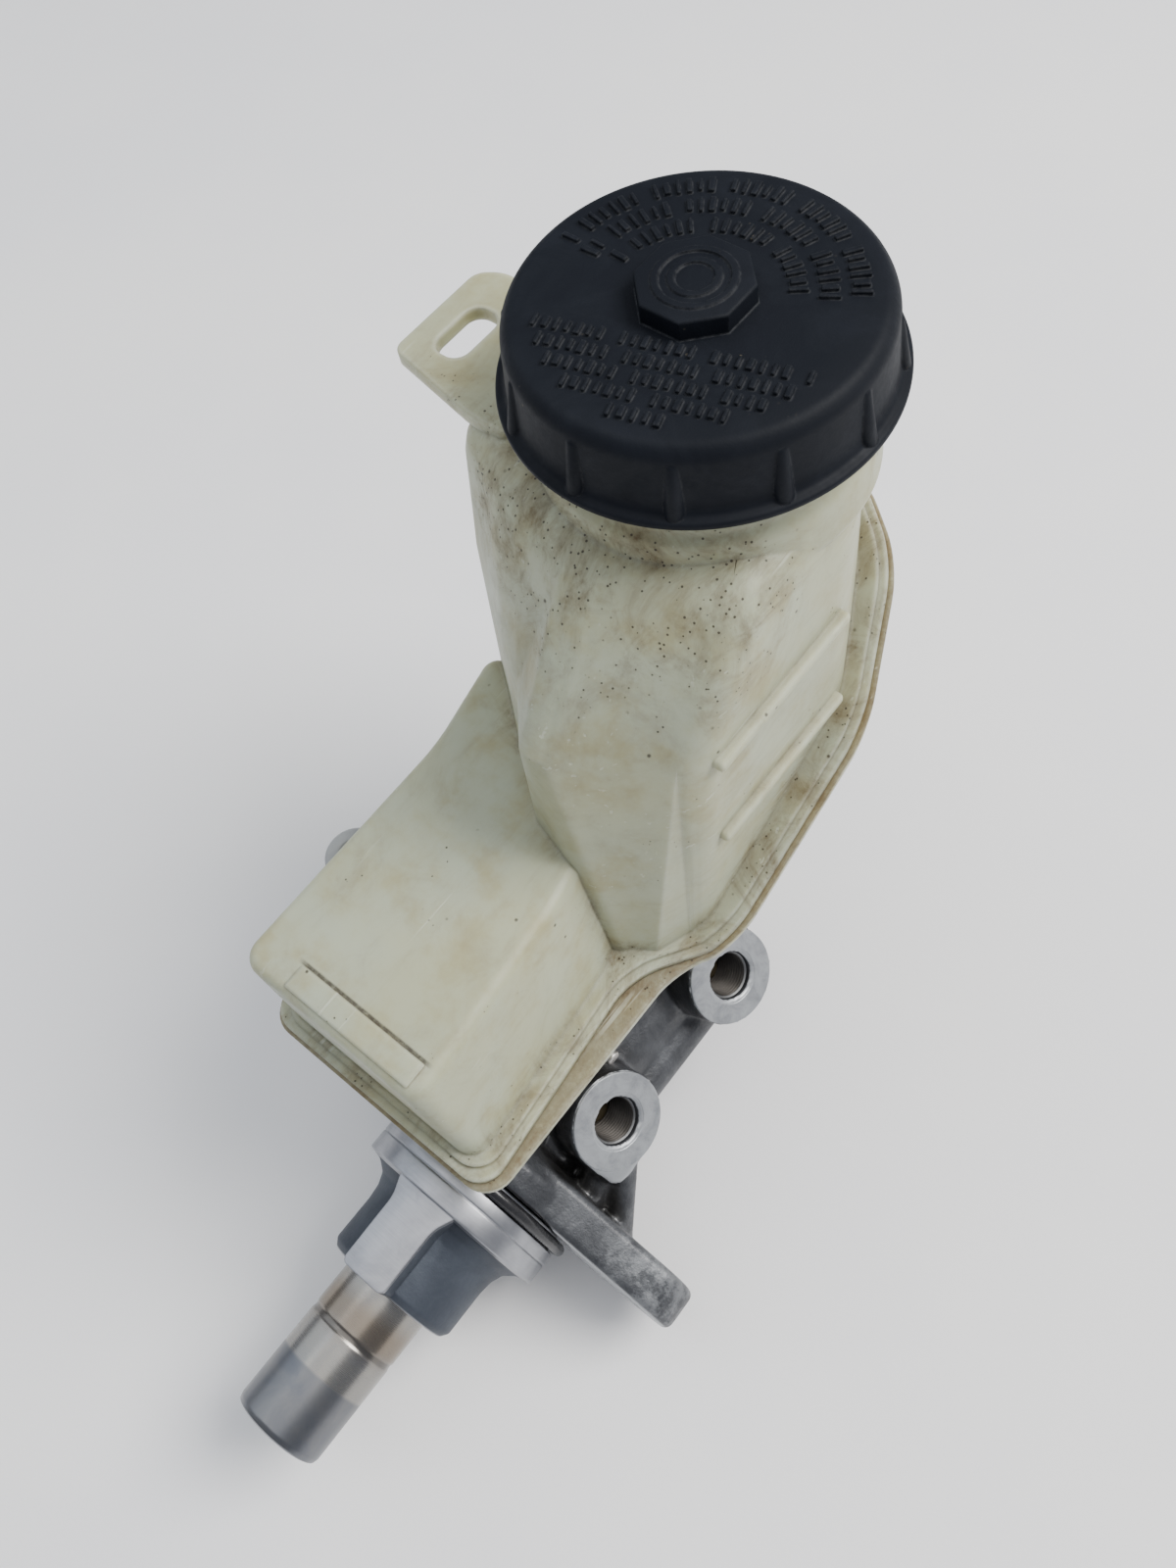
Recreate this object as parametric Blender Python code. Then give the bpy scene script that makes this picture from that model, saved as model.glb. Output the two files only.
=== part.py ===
# Tandem brake master cylinder with its fluid reservoir, 1 unit = 1 metre, +Z up.
# The cylinder bore runs along Y and the brake push rod comes in from -Y.
# The origin is the centre of the flange's mounting face on the bore axis.
# Sizes below are in millimetres and are turned into metres when a mesh is made.

import math

import bmesh
import bpy
from mathutils import Matrix, Vector

MM = 0.001
GAP = 0.3                   # running gap left between touching pieces
ROUND = 32                  # sides on large round pieces
SMALL_ROUND = 20            # sides on small round pieces

# bore, pistons and stroke
PISTON_R = 11.9
BORE_R = 12.2
BORE_END = 86.0
POCKET_R = 8.3              # spring pockets in both pistons
PRIMARY_REAR = -75.0
PRIMARY_FRONT = 24.0
SECONDARY_REAR = 34.0
SECONDARY_FRONT = 70.0
WEB = (46.0, 52.0)          # solid web of the secondary piston
CUP_GROOVES = ((-8.2, -3.2), (16.5, 21.5), (44.0, 49.0), (62.0, 67.0))
CUP_GROOVE_R = 16.5
FEED_GROOVES = ((11.2, 14.8), (53.5, 58.5))
FEED_GROOVE_R = 14.0

# body casting
BARREL_R = 21.0
BODY_FRONT = 92.0
FLANGE_THICK = 11.0
FLANGE_DISC_R = 28.9
FLANGE_RELIEF = 0.5         # the disc stands back from the lugs' mounting faces
LUG_REACH = 46.0            # stud hole to bore axis
LUG_R = 13.0
STUD_HOLE_R = 4.6
FLANGE_TILT = 10.0          # degrees, left lug up
REGISTER_R = 19.3           # counterbore that takes the guide
REGISTER_DEPTH = 8.3

# outlet ports, tilted up from the horizontal
PORT_LEAN = 50.0            # degrees from vertical towards +X
PORT_Y = (28.7, 74.2)
PORT_FACE = 31.5            # bore axis to port face
PORT_R = 12.6
PORT_THREAD_R = 6.0
PORT_DEPTH = 15.0

# reservoir inlets on top of the body
INLET_Y = (13.5, 56.0)
INLET_TOP = 29.0
GROMMET_R = 9.9
SPIGOT_R = 6.0
PIN_Y = 38.6
PIN_Z = 30.0
PIN_R = 1.8

# guide that sticks out behind the flange
GUIDE_R = 26.0
GUIDE_NOSE_R = 18.0
GUIDE_END = -35.5
GUIDE_STEP = -12.5

# reservoir
SEAM_Z = 50.0
SEAM_BEND_Y = 68.0
SEAM_SLOPE = 0.55
FLOOR_Z = 36.0
FLOOR_BEND_Y = 90.0
WING_TOP = 85.0
SHOULDER_Z = 120.0
ROOF_Z = 150.0
WALL = 2.5
TRAY_INSET = 1.4            # the lower shell sits this far inside the upper one
RIM = 2.0                   # thickness of each welded rim
NECK_X = -12.4
NECK_Y = 122.0
COLLAR_R = 29.6
COLLAR_BORE_R = 26.0
COLLAR_TOP = 172.6
EAR_Z = 151.6
EAR_THICK = 3.0

# cap
CAP_LIP_R = 36.0
CAP_LIP_Z = 164.0
CAP_SIDE_R = 34.0
CAP_TOP_Z = 179.6
CAP_RIBS = 12
CAP_INNER_R = 32.2

# float and level switch
FLOAT_X = -31.0
FLOAT_Y = 34.5
FLOAT_R = 9.0
SWITCH_X = -54.2
SWITCH_Y = 34.5
SWITCH_R = 7.6


def clear_scene():
    for item in list(bpy.data.objects):
        bpy.data.objects.remove(item, do_unlink=True)


def make_material(name, colour, metallic, roughness):
    material = bpy.data.materials.new(name)
    material.use_nodes = True
    shader = material.node_tree.nodes["Principled BSDF"]
    shader.inputs["Base Color"].default_value = (*colour, 1.0)
    shader.inputs["Metallic"].default_value = metallic
    shader.inputs["Roughness"].default_value = roughness
    return material


def cast_aluminium():
    return make_material("cast_aluminium", (0.12, 0.13, 0.14), 0.8, 0.5)


def turned_aluminium(name):
    return make_material(name, (0.55, 0.56, 0.58), 1.0, 0.28)


def bright_steel(name):
    return make_material(name, (0.5, 0.5, 0.5), 1.0, 0.25)


def spring_steel(name):
    return make_material(name, (0.3, 0.31, 0.33), 1.0, 0.35)


def black_rubber(name):
    return make_material(name, (0.015, 0.015, 0.017), 0.0, 0.5)


def milky_plastic(name):
    return make_material(name, (0.5, 0.5, 0.4), 0.0, 0.35)


def black_plastic(name):
    return make_material(name, (0.012, 0.015, 0.022), 0.0, 0.45)


def grey_plastic(name):
    return make_material(name, (0.25, 0.26, 0.27), 0.0, 0.5)


def white_plastic(name):
    return make_material(name, (0.7, 0.7, 0.66), 0.0, 0.45)


def tidy_mesh(mesh):
    bmesh.ops.remove_doubles(mesh, verts=mesh.verts, dist=0.001)
    bmesh.ops.dissolve_degenerate(mesh, edges=mesh.edges, dist=0.001)
    bmesh.ops.recalc_face_normals(mesh, faces=mesh.faces)


def finish_piece(mesh, name, material=None, origin=(0.0, 0.0, 0.0)):
    # the mesh comes in millimetres, the object leaves in metres
    tidy_mesh(mesh)
    bmesh.ops.translate(mesh, verts=mesh.verts, vec=-Vector(origin))
    bmesh.ops.scale(mesh, verts=mesh.verts, vec=(MM, MM, MM))
    data = bpy.data.meshes.new(name)
    mesh.to_mesh(data)
    mesh.free()
    piece = bpy.data.objects.new(name, data)
    piece.location = Vector(origin) * MM
    bpy.context.scene.collection.objects.link(piece)
    if material is not None:
        data.materials.append(material)
    return piece


def shade_round(piece, angle=35.0):
    for face in piece.data.polygons:
        face.use_smooth = True
    for edge in piece.data.edges:
        edge.use_edge_sharp = False
    mesh = bmesh.new()
    mesh.from_mesh(piece.data)
    for edge in mesh.edges:
        if len(edge.link_faces) == 2 and edge.calc_face_angle(0.0) > math.radians(angle):
            edge.smooth = False
    mesh.to_mesh(piece.data)
    mesh.free()


def spin_profile(profile, axis, sides=ROUND, centre=(0.0, 0.0, 0.0), turn=360.0):
    # profile is a closed loop of (radius, distance along the axis)
    mesh = bmesh.new()
    along_y = axis == "Y"
    ring = []
    for radius, along in profile:
        place = (radius, along, 0.0) if along_y else (radius, 0.0, along)
        ring.append(mesh.verts.new(Vector(place) + Vector(centre)))
    for index, (radius, _) in enumerate(profile):
        on_axis = radius == 0.0 and profile[index - 1][0] == 0.0
        if not on_axis:
            mesh.edges.new((ring[index - 1], ring[index]))
    direction = (0.0, 1.0, 0.0) if along_y else (0.0, 0.0, 1.0)
    full = turn == 360.0
    if not full:
        mesh.faces.new(ring)
    parts = mesh.verts[:] + mesh.edges[:] + mesh.faces[:]
    bmesh.ops.spin(mesh, geom=parts, cent=centre, axis=direction, angle=math.radians(turn),
                   steps=sides, use_merge=full)
    if full:
        loose = [face for face in mesh.faces if len(face.verts) > 4]
        bmesh.ops.delete(mesh, geom=loose, context="FACES_ONLY")
    tidy_mesh(mesh)
    return mesh


def spin_tool(name, profile, axis, sides=ROUND, centre=(0.0, 0.0, 0.0)):
    return finish_piece(spin_profile(profile, axis, sides, centre), name)


def rod_profile(radius, start, end):
    return [(0.0, start), (radius, start), (radius, end), (0.0, end)]


def tube_profile(inner, outer, start, end):
    return [(inner, start), (outer, start), (outer, end), (inner, end)]


def box_mesh(low, high):
    mesh = bmesh.new()
    size = Vector(high) - Vector(low)
    middle = (Vector(high) + Vector(low)) / 2
    matrix = Matrix.Translation(middle) @ Matrix.Diagonal((*size, 1.0))
    bmesh.ops.create_cube(mesh, size=1.0, matrix=matrix)
    return mesh


def rod_between(name, start, end, radius, sides=SMALL_ROUND):
    mesh = bmesh.new()
    start = Vector(start)
    end = Vector(end)
    direction = end - start
    turn = direction.to_track_quat("Z", "Y").to_matrix().to_4x4()
    matrix = Matrix.Translation((start + end) / 2) @ turn
    bmesh.ops.create_cone(mesh, cap_ends=True, segments=sides, radius1=radius, radius2=radius,
                          depth=direction.length, matrix=matrix)
    return finish_piece(mesh, name)


def loft_mesh(levels, corner_radius, steps=3):
    # levels is a list of (height, corner points); every level has as many corners
    mesh = bmesh.new()
    height, corners = levels[0]
    base = mesh.faces.new([mesh.verts.new((x, y, height)) for x, y in corners])
    front = base
    for height, corners in levels[1:]:
        grown = bmesh.ops.extrude_face_region(mesh, geom=[front])
        passed = front
        front = [item for item in grown["geom"] if isinstance(item, bmesh.types.BMFace)][0]
        for loop, (x, y) in zip(front.loops, corners):
            loop.vert.co = (x, y, height)
        if passed is not base and passed.is_valid:
            bmesh.ops.delete(mesh, geom=[passed], context="FACES_ONLY")
    bmesh.ops.recalc_face_normals(mesh, faces=mesh.faces)
    if corner_radius > 0.0:
        tall = [edge for edge in mesh.edges
                if abs(edge.verts[0].co.z - edge.verts[1].co.z) > 0.5]
        bmesh.ops.bevel(mesh, geom=tall, offset=corner_radius, offset_type="OFFSET", segments=steps,
                        profile=0.5, affect="EDGES", material=-1)
    return mesh


def inset_corners(corners, distance):
    # moves every side of the outline inwards by the distance; corners run anticlockwise
    moved = []
    count = len(corners)
    for index in range(count):
        before = Vector(corners[index - 1])
        here = Vector(corners[index])
        after = Vector(corners[(index + 1) % count])
        first = (here - before).normalized()
        second = (after - here).normalized()
        first_normal = Vector((-first.y, first.x))
        second_normal = Vector((-second.y, second.x))
        bisector = (first_normal + second_normal).normalized()
        reach = distance / max(0.35, bisector.dot(first_normal))
        moved.append(tuple(here + bisector * reach))
    return moved


def profile_slab(name, outline, low_x, high_x):
    # outline is a list of (y, z) pulled along X
    mesh = bmesh.new()
    face = mesh.faces.new([mesh.verts.new((low_x, y, z)) for y, z in outline])
    grown = bmesh.ops.extrude_face_region(mesh, geom=[face])
    verts = [item for item in grown["geom"] if isinstance(item, bmesh.types.BMVert)]
    bmesh.ops.translate(mesh, verts=verts, vec=(high_x - low_x, 0.0, 0.0))
    return finish_piece(mesh, name)


def combine(target, tool, operation):
    # the tool is used up
    tool.hide_render = True
    tool.display_type = "WIRE"
    modifier = target.modifiers.new("combine", "BOOLEAN")
    modifier.operation = operation
    modifier.solver = "EXACT"
    modifier.object = tool
    bpy.context.view_layer.update()
    graph = bpy.context.evaluated_depsgraph_get()
    result = bpy.data.meshes.new_from_object(target.evaluated_get(graph))
    target.modifiers.clear()
    target.data = result
    bpy.data.objects.remove(tool, do_unlink=True)
    mend(result)
    return target


def mend(data):
    # closes the hair-thin slivers a cut can leave
    mesh = bmesh.new()
    mesh.from_mesh(data)
    bmesh.ops.remove_doubles(mesh, verts=mesh.verts, dist=0.000004)
    bmesh.ops.dissolve_degenerate(mesh, edges=mesh.edges, dist=0.000002)
    mesh.to_mesh(data)
    mesh.free()


def add(target, tool):
    return combine(target, tool, "UNION")


def cut(target, tool):
    return combine(target, tool, "DIFFERENCE")


def keep(target, tool):
    return combine(target, tool, "INTERSECT")


def dress(piece, material):
    # merges the seams left by the cuts and gives the piece its only material
    mesh = bmesh.new()
    mesh.from_mesh(piece.data)
    bmesh.ops.remove_doubles(mesh, verts=mesh.verts, dist=0.000004)
    bmesh.ops.recalc_face_normals(mesh, faces=mesh.faces)
    for face in mesh.faces:
        face.material_index = 0
    mesh.to_mesh(piece.data)
    mesh.free()
    piece.data.materials.clear()
    piece.data.materials.append(material)
    shade_round(piece)
    return piece


def flange_point(across, along=0.0):
    # a point on the tilted line through both lugs
    angle = math.radians(-FLANGE_TILT)
    return Vector((across * math.cos(angle), along, across * math.sin(angle)))


def hull_of_rods(name, rods, rim=0.0, sides=ROUND):
    # the skin stretched around several rods, each (start, end, radius)
    mesh = bmesh.new()
    for start, end, radius in rods:
        direction = end - start
        turn = direction.to_track_quat("Z", "Y").to_matrix().to_4x4()
        matrix = Matrix.Translation((start + end) / 2) @ turn
        bmesh.ops.create_cone(mesh, cap_ends=True, segments=sides, radius1=radius,
                              radius2=radius, depth=direction.length, matrix=matrix)
    hull = bmesh.ops.convex_hull(mesh, input=mesh.verts[:])
    inside = [item for item in hull["geom_interior"] if isinstance(item, bmesh.types.BMVert)]
    bmesh.ops.delete(mesh, geom=inside, context="VERTS")
    kept = set(item for item in hull["geom"] if isinstance(item, bmesh.types.BMFace))
    buried = [face for face in mesh.faces if face not in kept]
    bmesh.ops.delete(mesh, geom=buried, context="FACES_ONLY")
    bmesh.ops.dissolve_limit(mesh, angle_limit=math.radians(1.0), verts=mesh.verts,
                             edges=mesh.edges)
    if rim > 0.0:
        rims = [edge for edge in mesh.edges
                if len(edge.link_faces) == 2 and edge.calc_face_angle(0.0) > math.radians(60.0)]
        bmesh.ops.bevel(mesh, geom=rims, offset=rim, offset_type="OFFSET", segments=1,
                        profile=0.5, affect="EDGES", material=-1)
    return finish_piece(mesh, name)


def flange_plate():
    rods = [(flange_point(across), flange_point(across, FLANGE_THICK), radius)
            for across, radius in ((0.0, 26.0), (LUG_REACH, LUG_R), (-LUG_REACH, LUG_R))]
    plate = hull_of_rods("flange_plate", rods, 1.2)
    relief = spin_tool("relief", rod_profile(FLANGE_DISC_R + 0.4, -5.0, FLANGE_RELIEF), "Y", 36)
    return cut(plate, relief)


def port_direction():
    angle = math.radians(PORT_LEAN)
    return Vector((math.sin(angle), 0.0, math.cos(angle)))


def port_point(y, distance, side=0.0):
    # side runs along the port's face, down and away from the bore
    lean = port_direction()
    down = Vector((lean.z, 0.0, -lean.x))
    return lean * distance + down * side + Vector((0.0, y, 0.0))


def build_body(material):
    outer = [(0.0, 1.0), (BARREL_R, 1.0), (BARREL_R, BORE_END), (17.0, BODY_FRONT),
             (0.0, BODY_FRONT)]
    body = spin_tool("body_casting", outer, "Y")
    add(body, flange_plate())
    disc = [(0.0, FLANGE_RELIEF), (FLANGE_DISC_R - 1.0, FLANGE_RELIEF),
            (FLANGE_DISC_R, FLANGE_RELIEF + 1.0), (FLANGE_DISC_R, 7.0),
            (FLANGE_DISC_R - 5.0, 12.5), (0.0, 12.5)]
    add(body, spin_tool("disc", disc, "Y"))
    for y in INLET_Y:
        boss = [(0.0, 5.0), (12.2, 5.0), (12.2, INLET_TOP - 0.8), (11.6, INLET_TOP),
                (0.0, INLET_TOP)]
        add(body, spin_tool("inlet_boss", boss, "Z", 32, (0.0, y, 0.0)))
    ear = box_mesh((-8.4, PIN_Y - 5.0, 10.0), (8.4, PIN_Y + 5.0, PIN_Z + 3.6))
    add(body, finish_piece(ear, "pin_ear"))
    web = box_mesh((-5.0, 20.0, 5.0), (5.0, 84.0, 24.0))
    add(body, finish_piece(web, "top_web"))
    for y in PORT_Y[1:]:
        add(body, rod_between("port_boss", port_point(y, 6.0), port_point(y, PORT_FACE),
                              PORT_R, 32))
    tip = (port_point(PORT_Y[0] - 8.0, 17.0, 8.5), port_point(PORT_Y[0] - 8.0, PORT_FACE, 8.5), 4.0)
    boss = (port_point(PORT_Y[0], 17.0), port_point(PORT_Y[0], PORT_FACE), PORT_R)
    add(body, hull_of_rods("port_land", [boss, tip]))
    for start, end, radius in (((24.5, 18.0, 8.0), (26.5, 6.0, -1.0), 4.2),
                               ((27.0, 26.0, 11.0), (38.0, 6.0, -8.0), 3.6)):
        add(body, rod_between("gusset", start, end, radius, 16))
    bridge = rod_between("port_bridge", (17.0, PORT_Y[0], 2.0), (17.0, PORT_Y[1], 2.0), 7.0, 16)
    add(body, bridge)
    foot = box_mesh((-6.0, 8.0, -24.5), (6.0, 80.0, -10.0))
    add(body, finish_piece(foot, "belly_rib"))
    cut(body, spin_tool("register", rod_profile(REGISTER_R, -5.0, REGISTER_DEPTH), "Y"))
    bore = [(0.0, 5.0), (BORE_R, 5.0)]
    for (near, far), radius in ((FEED_GROOVES[0], FEED_GROOVE_R), (CUP_GROOVES[1], CUP_GROOVE_R),
                                (CUP_GROOVES[2], CUP_GROOVE_R), (FEED_GROOVES[1], FEED_GROOVE_R),
                                (CUP_GROOVES[3], CUP_GROOVE_R)):
        bore += [(BORE_R, near), (radius, near), (radius, far), (BORE_R, far)]
    bore += [(BORE_R, BORE_END), (0.0, BORE_END)]
    cut(body, spin_tool("bore", bore, "Y", 28))
    for y in INLET_Y:
        cut(body, spin_tool("grommet_seat", rod_profile(GROMMET_R + GAP, 20.0, 40.0), "Z", 32,
                            (0.0, y, 0.0)))
        cut(body, rod_between("feed_hole", (0.0, y, 10.0), (0.0, y, 22.0), 2.2, 12))
    for y in PORT_Y:
        cut(body, rod_between("port_thread", port_point(y, PORT_FACE - PORT_DEPTH),
                              port_point(y, PORT_FACE + 5.0), PORT_THREAD_R, 24))
        cut(body, rod_between("outlet_hole", port_point(y, 10.0), port_point(y, PORT_FACE - 8.0),
                              1.8, 10))
    for side in (-1.0, 1.0):
        across = side * LUG_REACH
        cut(body, rod_between("stud_hole", flange_point(across, -5.0), flange_point(across, 20.0),
                              STUD_HOLE_R, 20))
    cut(body, rod_between("pin_hole", (-20.0, PIN_Y, PIN_Z), (20.0, PIN_Y, PIN_Z), PIN_R + GAP, 12))
    return dress(body, material)


def build_port_seats(material):
    # brass-coloured flare seats pressed into the bottom of each outlet port
    for label, y in zip(("rear", "front"), PORT_Y):
        centre = port_point(y, PORT_FACE - PORT_DEPTH)
        profile = [(1.2, 0.3), (5.6, 0.3), (5.6, 1.8), (3.4, 4.6), (1.2, 4.6)]
        mesh = spin_profile(profile, "Z", 20)
        lean = Matrix.Rotation(math.radians(PORT_LEAN), 4, "Y")
        bmesh.ops.transform(mesh, verts=mesh.verts, matrix=Matrix.Translation(centre) @ lean)
        seat = finish_piece(mesh, f"outlet_seat_{label}", material)
        shade_round(seat)


def build_guide(material):
    outer = [(BORE_R, REGISTER_DEPTH - GAP), (REGISTER_R - GAP, REGISTER_DEPTH - GAP),
             (REGISTER_R - GAP, 5.6), (17.2, 5.6), (17.2, 2.4), (REGISTER_R - GAP, 2.4),
             (REGISTER_R - GAP, 0.2), (24.4, 0.2), (24.4, -3.9), (GUIDE_R, -3.9),
             (GUIDE_R, GUIDE_STEP), (22.2, -13.4), (19.6, -15.4), (GUIDE_NOSE_R + 0.4, -18.4),
             (GUIDE_NOSE_R, -22.0), (GUIDE_NOSE_R, -33.6), (GUIDE_NOSE_R - 1.4, GUIDE_END),
             (14.8, GUIDE_END), (14.8, -33.2), (15.9, -33.2), (15.9, -31.6), (14.8, -31.6),
             (14.8, -21.4), (BORE_R, -21.4), (BORE_R, CUP_GROOVES[0][0]),
             (CUP_GROOVE_R, CUP_GROOVES[0][0]), (CUP_GROOVE_R, CUP_GROOVES[0][1]),
             (BORE_R, CUP_GROOVES[0][1])]
    guide = spin_tool("piston_guide", outer, "Y")
    for side in (1.0, -1.0):
        low = min(side * 15.6, side * 25.5)
        high = max(side * 15.6, side * 25.5)
        rib = box_mesh((-5.2, GUIDE_END, low), (5.2, GUIDE_STEP + 2.0, high))
        add(guide, finish_piece(rib, "guide_rib"))
    return dress(guide, material)


def build_ring(name, material, ring_r, wire_r, y, sides=32, wire_sides=8):
    profile = []
    for step in range(wire_sides):
        angle = 2.0 * math.pi * (step + 0.5) / wire_sides
        profile.append((ring_r + wire_r * math.cos(angle), y + wire_r * math.sin(angle)))
    ring = finish_piece(spin_profile(profile, "Y", sides), name, material)
    shade_round(ring, 60.0)
    return ring


def build_cup(name, material, start, forward):
    # a lipped seal; the open side with the lips faces the pressure
    near = start + 0.3
    far = start + 4.7
    if not forward:
        near, far = far, near
    floor = near + (far - near) * 0.42
    outer = CUP_GROOVE_R - GAP
    inner = PISTON_R + GAP
    profile = [(inner, near), (outer, near), (outer, far), (outer - 1.2, far),
               (outer - 1.5, floor), (inner + 1.5, floor), (inner + 1.2, far), (inner, far)]
    cup = finish_piece(spin_profile(profile, "Y", 20), name, material)
    shade_round(cup)


def build_guide_bush(material):
    bush = finish_piece(spin_profile(tube_profile(PISTON_R + GAP, 14.5, -31.3, -21.7), "Y", 32),
                        "guide_bush", material)
    shade_round(bush)


def build_snap_ring(material):
    profile = tube_profile(13.4, 15.6, -32.9, -31.9)
    mesh = spin_profile(profile, "Y", 30, turn=318.0)
    bmesh.ops.rotate(mesh, verts=mesh.verts, cent=(0.0, 0.0, 0.0),
                     matrix=Matrix.Rotation(math.radians(-70.0), 3, "Y"))
    ring = finish_piece(mesh, "snap_ring", material)
    shade_round(ring)


def build_primary_piston(material):
    profile = [(2.7, -9.0), (2.7, 0.0), (POCKET_R, 0.0), (POCKET_R, PRIMARY_FRONT),
               (PISTON_R - 0.6, PRIMARY_FRONT), (PISTON_R, PRIMARY_FRONT - 0.8),
               (PISTON_R, PRIMARY_REAR + 1.4), (PISTON_R - 0.5, PRIMARY_REAR + 0.4),
               (PISTON_R - 1.4, PRIMARY_REAR), (6.4, PRIMARY_REAR), (5.6, PRIMARY_REAR + 1.0),
               (5.6, -38.0), (0.0, -34.0), (0.0, -9.0)]
    piston = spin_tool("primary_piston", profile, "Y")
    for direction in ((1.0, 0.0, 0.0), (0.0, 0.0, 1.0)):
        reach = Vector(direction) * 15.0
        middle = Vector((0.0, 14.5, 0.0))
        cut(piston, rod_between("bleed_hole", middle - reach, middle + reach, 0.9, 8))
    return dress(piston, material)


def build_secondary_piston(material):
    profile = [(0.0, WEB[0]), (POCKET_R, WEB[0]), (POCKET_R, SECONDARY_REAR),
               (PISTON_R - 0.6, SECONDARY_REAR), (PISTON_R, SECONDARY_REAR + 0.8),
               (PISTON_R, SECONDARY_FRONT - 0.8), (PISTON_R - 0.6, SECONDARY_FRONT),
               (POCKET_R, SECONDARY_FRONT), (POCKET_R, WEB[1]), (2.7, WEB[1]), (2.7, 47.2),
               (0.0, 47.2)]
    piston = spin_tool("secondary_piston", profile, "Y")
    for direction in ((1.0, 0.0, 0.0), (0.0, 0.0, 1.0)):
        reach = Vector(direction) * 15.0
        middle = Vector((0.0, 60.2, 0.0))
        cut(piston, rod_between("bleed_hole", middle - reach, middle + reach, 0.9, 8))
    return dress(piston, material)


def build_stem(name, material, tail, foot, head):
    profile = [(0.0, tail), (2.4, tail), (2.4, foot), (5.0, foot), (5.0, foot + 1.0),
               (1.9, foot + 1.0), (1.9, head), (3.9, head), (3.9, head + 1.4), (0.0, head + 1.4)]
    stem = finish_piece(spin_profile(profile, "Y", 20), name, material)
    shade_round(stem)


def build_retainer(name, material, lip, flange):
    profile = [(2.4, lip), (5.2, lip), (5.2, flange - 1.3), (7.6, flange - 1.3), (7.6, flange),
               (4.3, flange), (4.3, lip + 0.9), (2.4, lip + 0.9)]
    retainer = finish_piece(spin_profile(profile, "Y", 24), name, material)
    shade_round(retainer)


def build_spring(name, material, start, end, coil_r, wire_r, turns):
    # one bevelled curve turned into a mesh; the last half turn at each end lies flat
    points = []
    steps = int(turns * 12)
    low = start + wire_r
    high = end - wire_r
    for step in range(steps + 1):
        share = step / steps
        lift = min(1.0, max(0.0, (share * turns - 0.5) / (turns - 1.0)))
        angle = 2.0 * math.pi * turns * share
        points.append((coil_r * math.cos(angle), low + (high - low) * lift,
                       coil_r * math.sin(angle)))
    curve = bpy.data.curves.new(name, "CURVE")
    curve.dimensions = "3D"
    curve.bevel_depth = wire_r
    curve.bevel_resolution = 1
    curve.use_fill_caps = True
    line = curve.splines.new("POLY")
    line.points.add(len(points) - 1)
    for point, place in zip(line.points, points):
        point.co = (*place, 1.0)
    holder = bpy.data.objects.new(name + "_curve", curve)
    bpy.context.scene.collection.objects.link(holder)
    bpy.context.view_layer.update()
    graph = bpy.context.evaluated_depsgraph_get()
    data = bpy.data.meshes.new_from_object(holder.evaluated_get(graph))
    mesh = bmesh.new()
    mesh.from_mesh(data)
    bpy.data.objects.remove(holder, do_unlink=True)
    spring = finish_piece(mesh, name, material)
    shade_round(spring, 70.0)
    return spring


def build_grommet(name, material, y):
    profile = [(SPIGOT_R + GAP, 20.3), (GROMMET_R - 0.8, 20.3), (GROMMET_R, 21.4),
               (GROMMET_R, INLET_TOP + GAP), (11.6, INLET_TOP + GAP), (11.6, INLET_TOP + 2.4),
               (10.6, INLET_TOP + 3.2), (SPIGOT_R + GAP, INLET_TOP + 3.2)]
    grommet = finish_piece(spin_profile(profile, "Z", 28, (0.0, y, 0.0)), name, material)
    shade_round(grommet)


def seam_height(y):
    return SEAM_Z + max(0.0, y - SEAM_BEND_Y) * SEAM_SLOPE


def seam_slab(name, low, high):
    # a bent plate that follows the weld seam, between two heights above it
    ends = (-20.0, SEAM_BEND_Y, 175.0)
    outline = [(y, seam_height(y) + low) for y in ends]
    outline += [(y, seam_height(y) + high) for y in reversed(ends)]
    return profile_slab(name, outline, -90.0, 60.0)


def wing_outline(grow, top=False):
    if top:
        corners = [(-46.0, -1.0), (6.0, -1.0), (1.0, 50.0), (-10.0, 88.0), (-52.0, 88.0),
                   (-46.5, 62.0)]
    else:
        corners = [(-46.0, -1.0), (18.3, -1.0), (13.3, 50.0), (-4.0, 88.0), (-52.0, 88.0),
                   (-46.5, 62.0)]
    return inset_corners(corners, -grow)


def neck_levels(grow, low, high):
    base = [(-54.0, 87.0), (-24.0, 62.0), (12.6, 51.0), (20.5, 70.0), (20.5, 122.0),
            (7.0, 149.0), (-8.0, 157.0), (-36.0, 157.0), (-54.0, 142.0)]
    shoulder = [(-54.0, 94.0), (-26.0, 73.0), (-7.0, 58.0), (20.0, 76.0), (20.0, 123.0),
                (7.0, 148.0), (-8.0, 156.0), (-36.0, 156.0), (-54.0, 141.0)]
    roof = [(-54.5, 99.0), (-34.0, 90.0), (-12.0, 86.0), (18.0, 95.0), (19.0, 126.0),
            (7.0, 148.0), (-8.0, 155.0), (-36.0, 155.0), (-54.5, 140.0)]
    levels = [(low, base), (SHOULDER_Z - (ROOF_Z - high) * 0.3, shoulder), (high, roof)]
    return [(height, inset_corners(corners, -grow)) for height, corners in levels]


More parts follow.
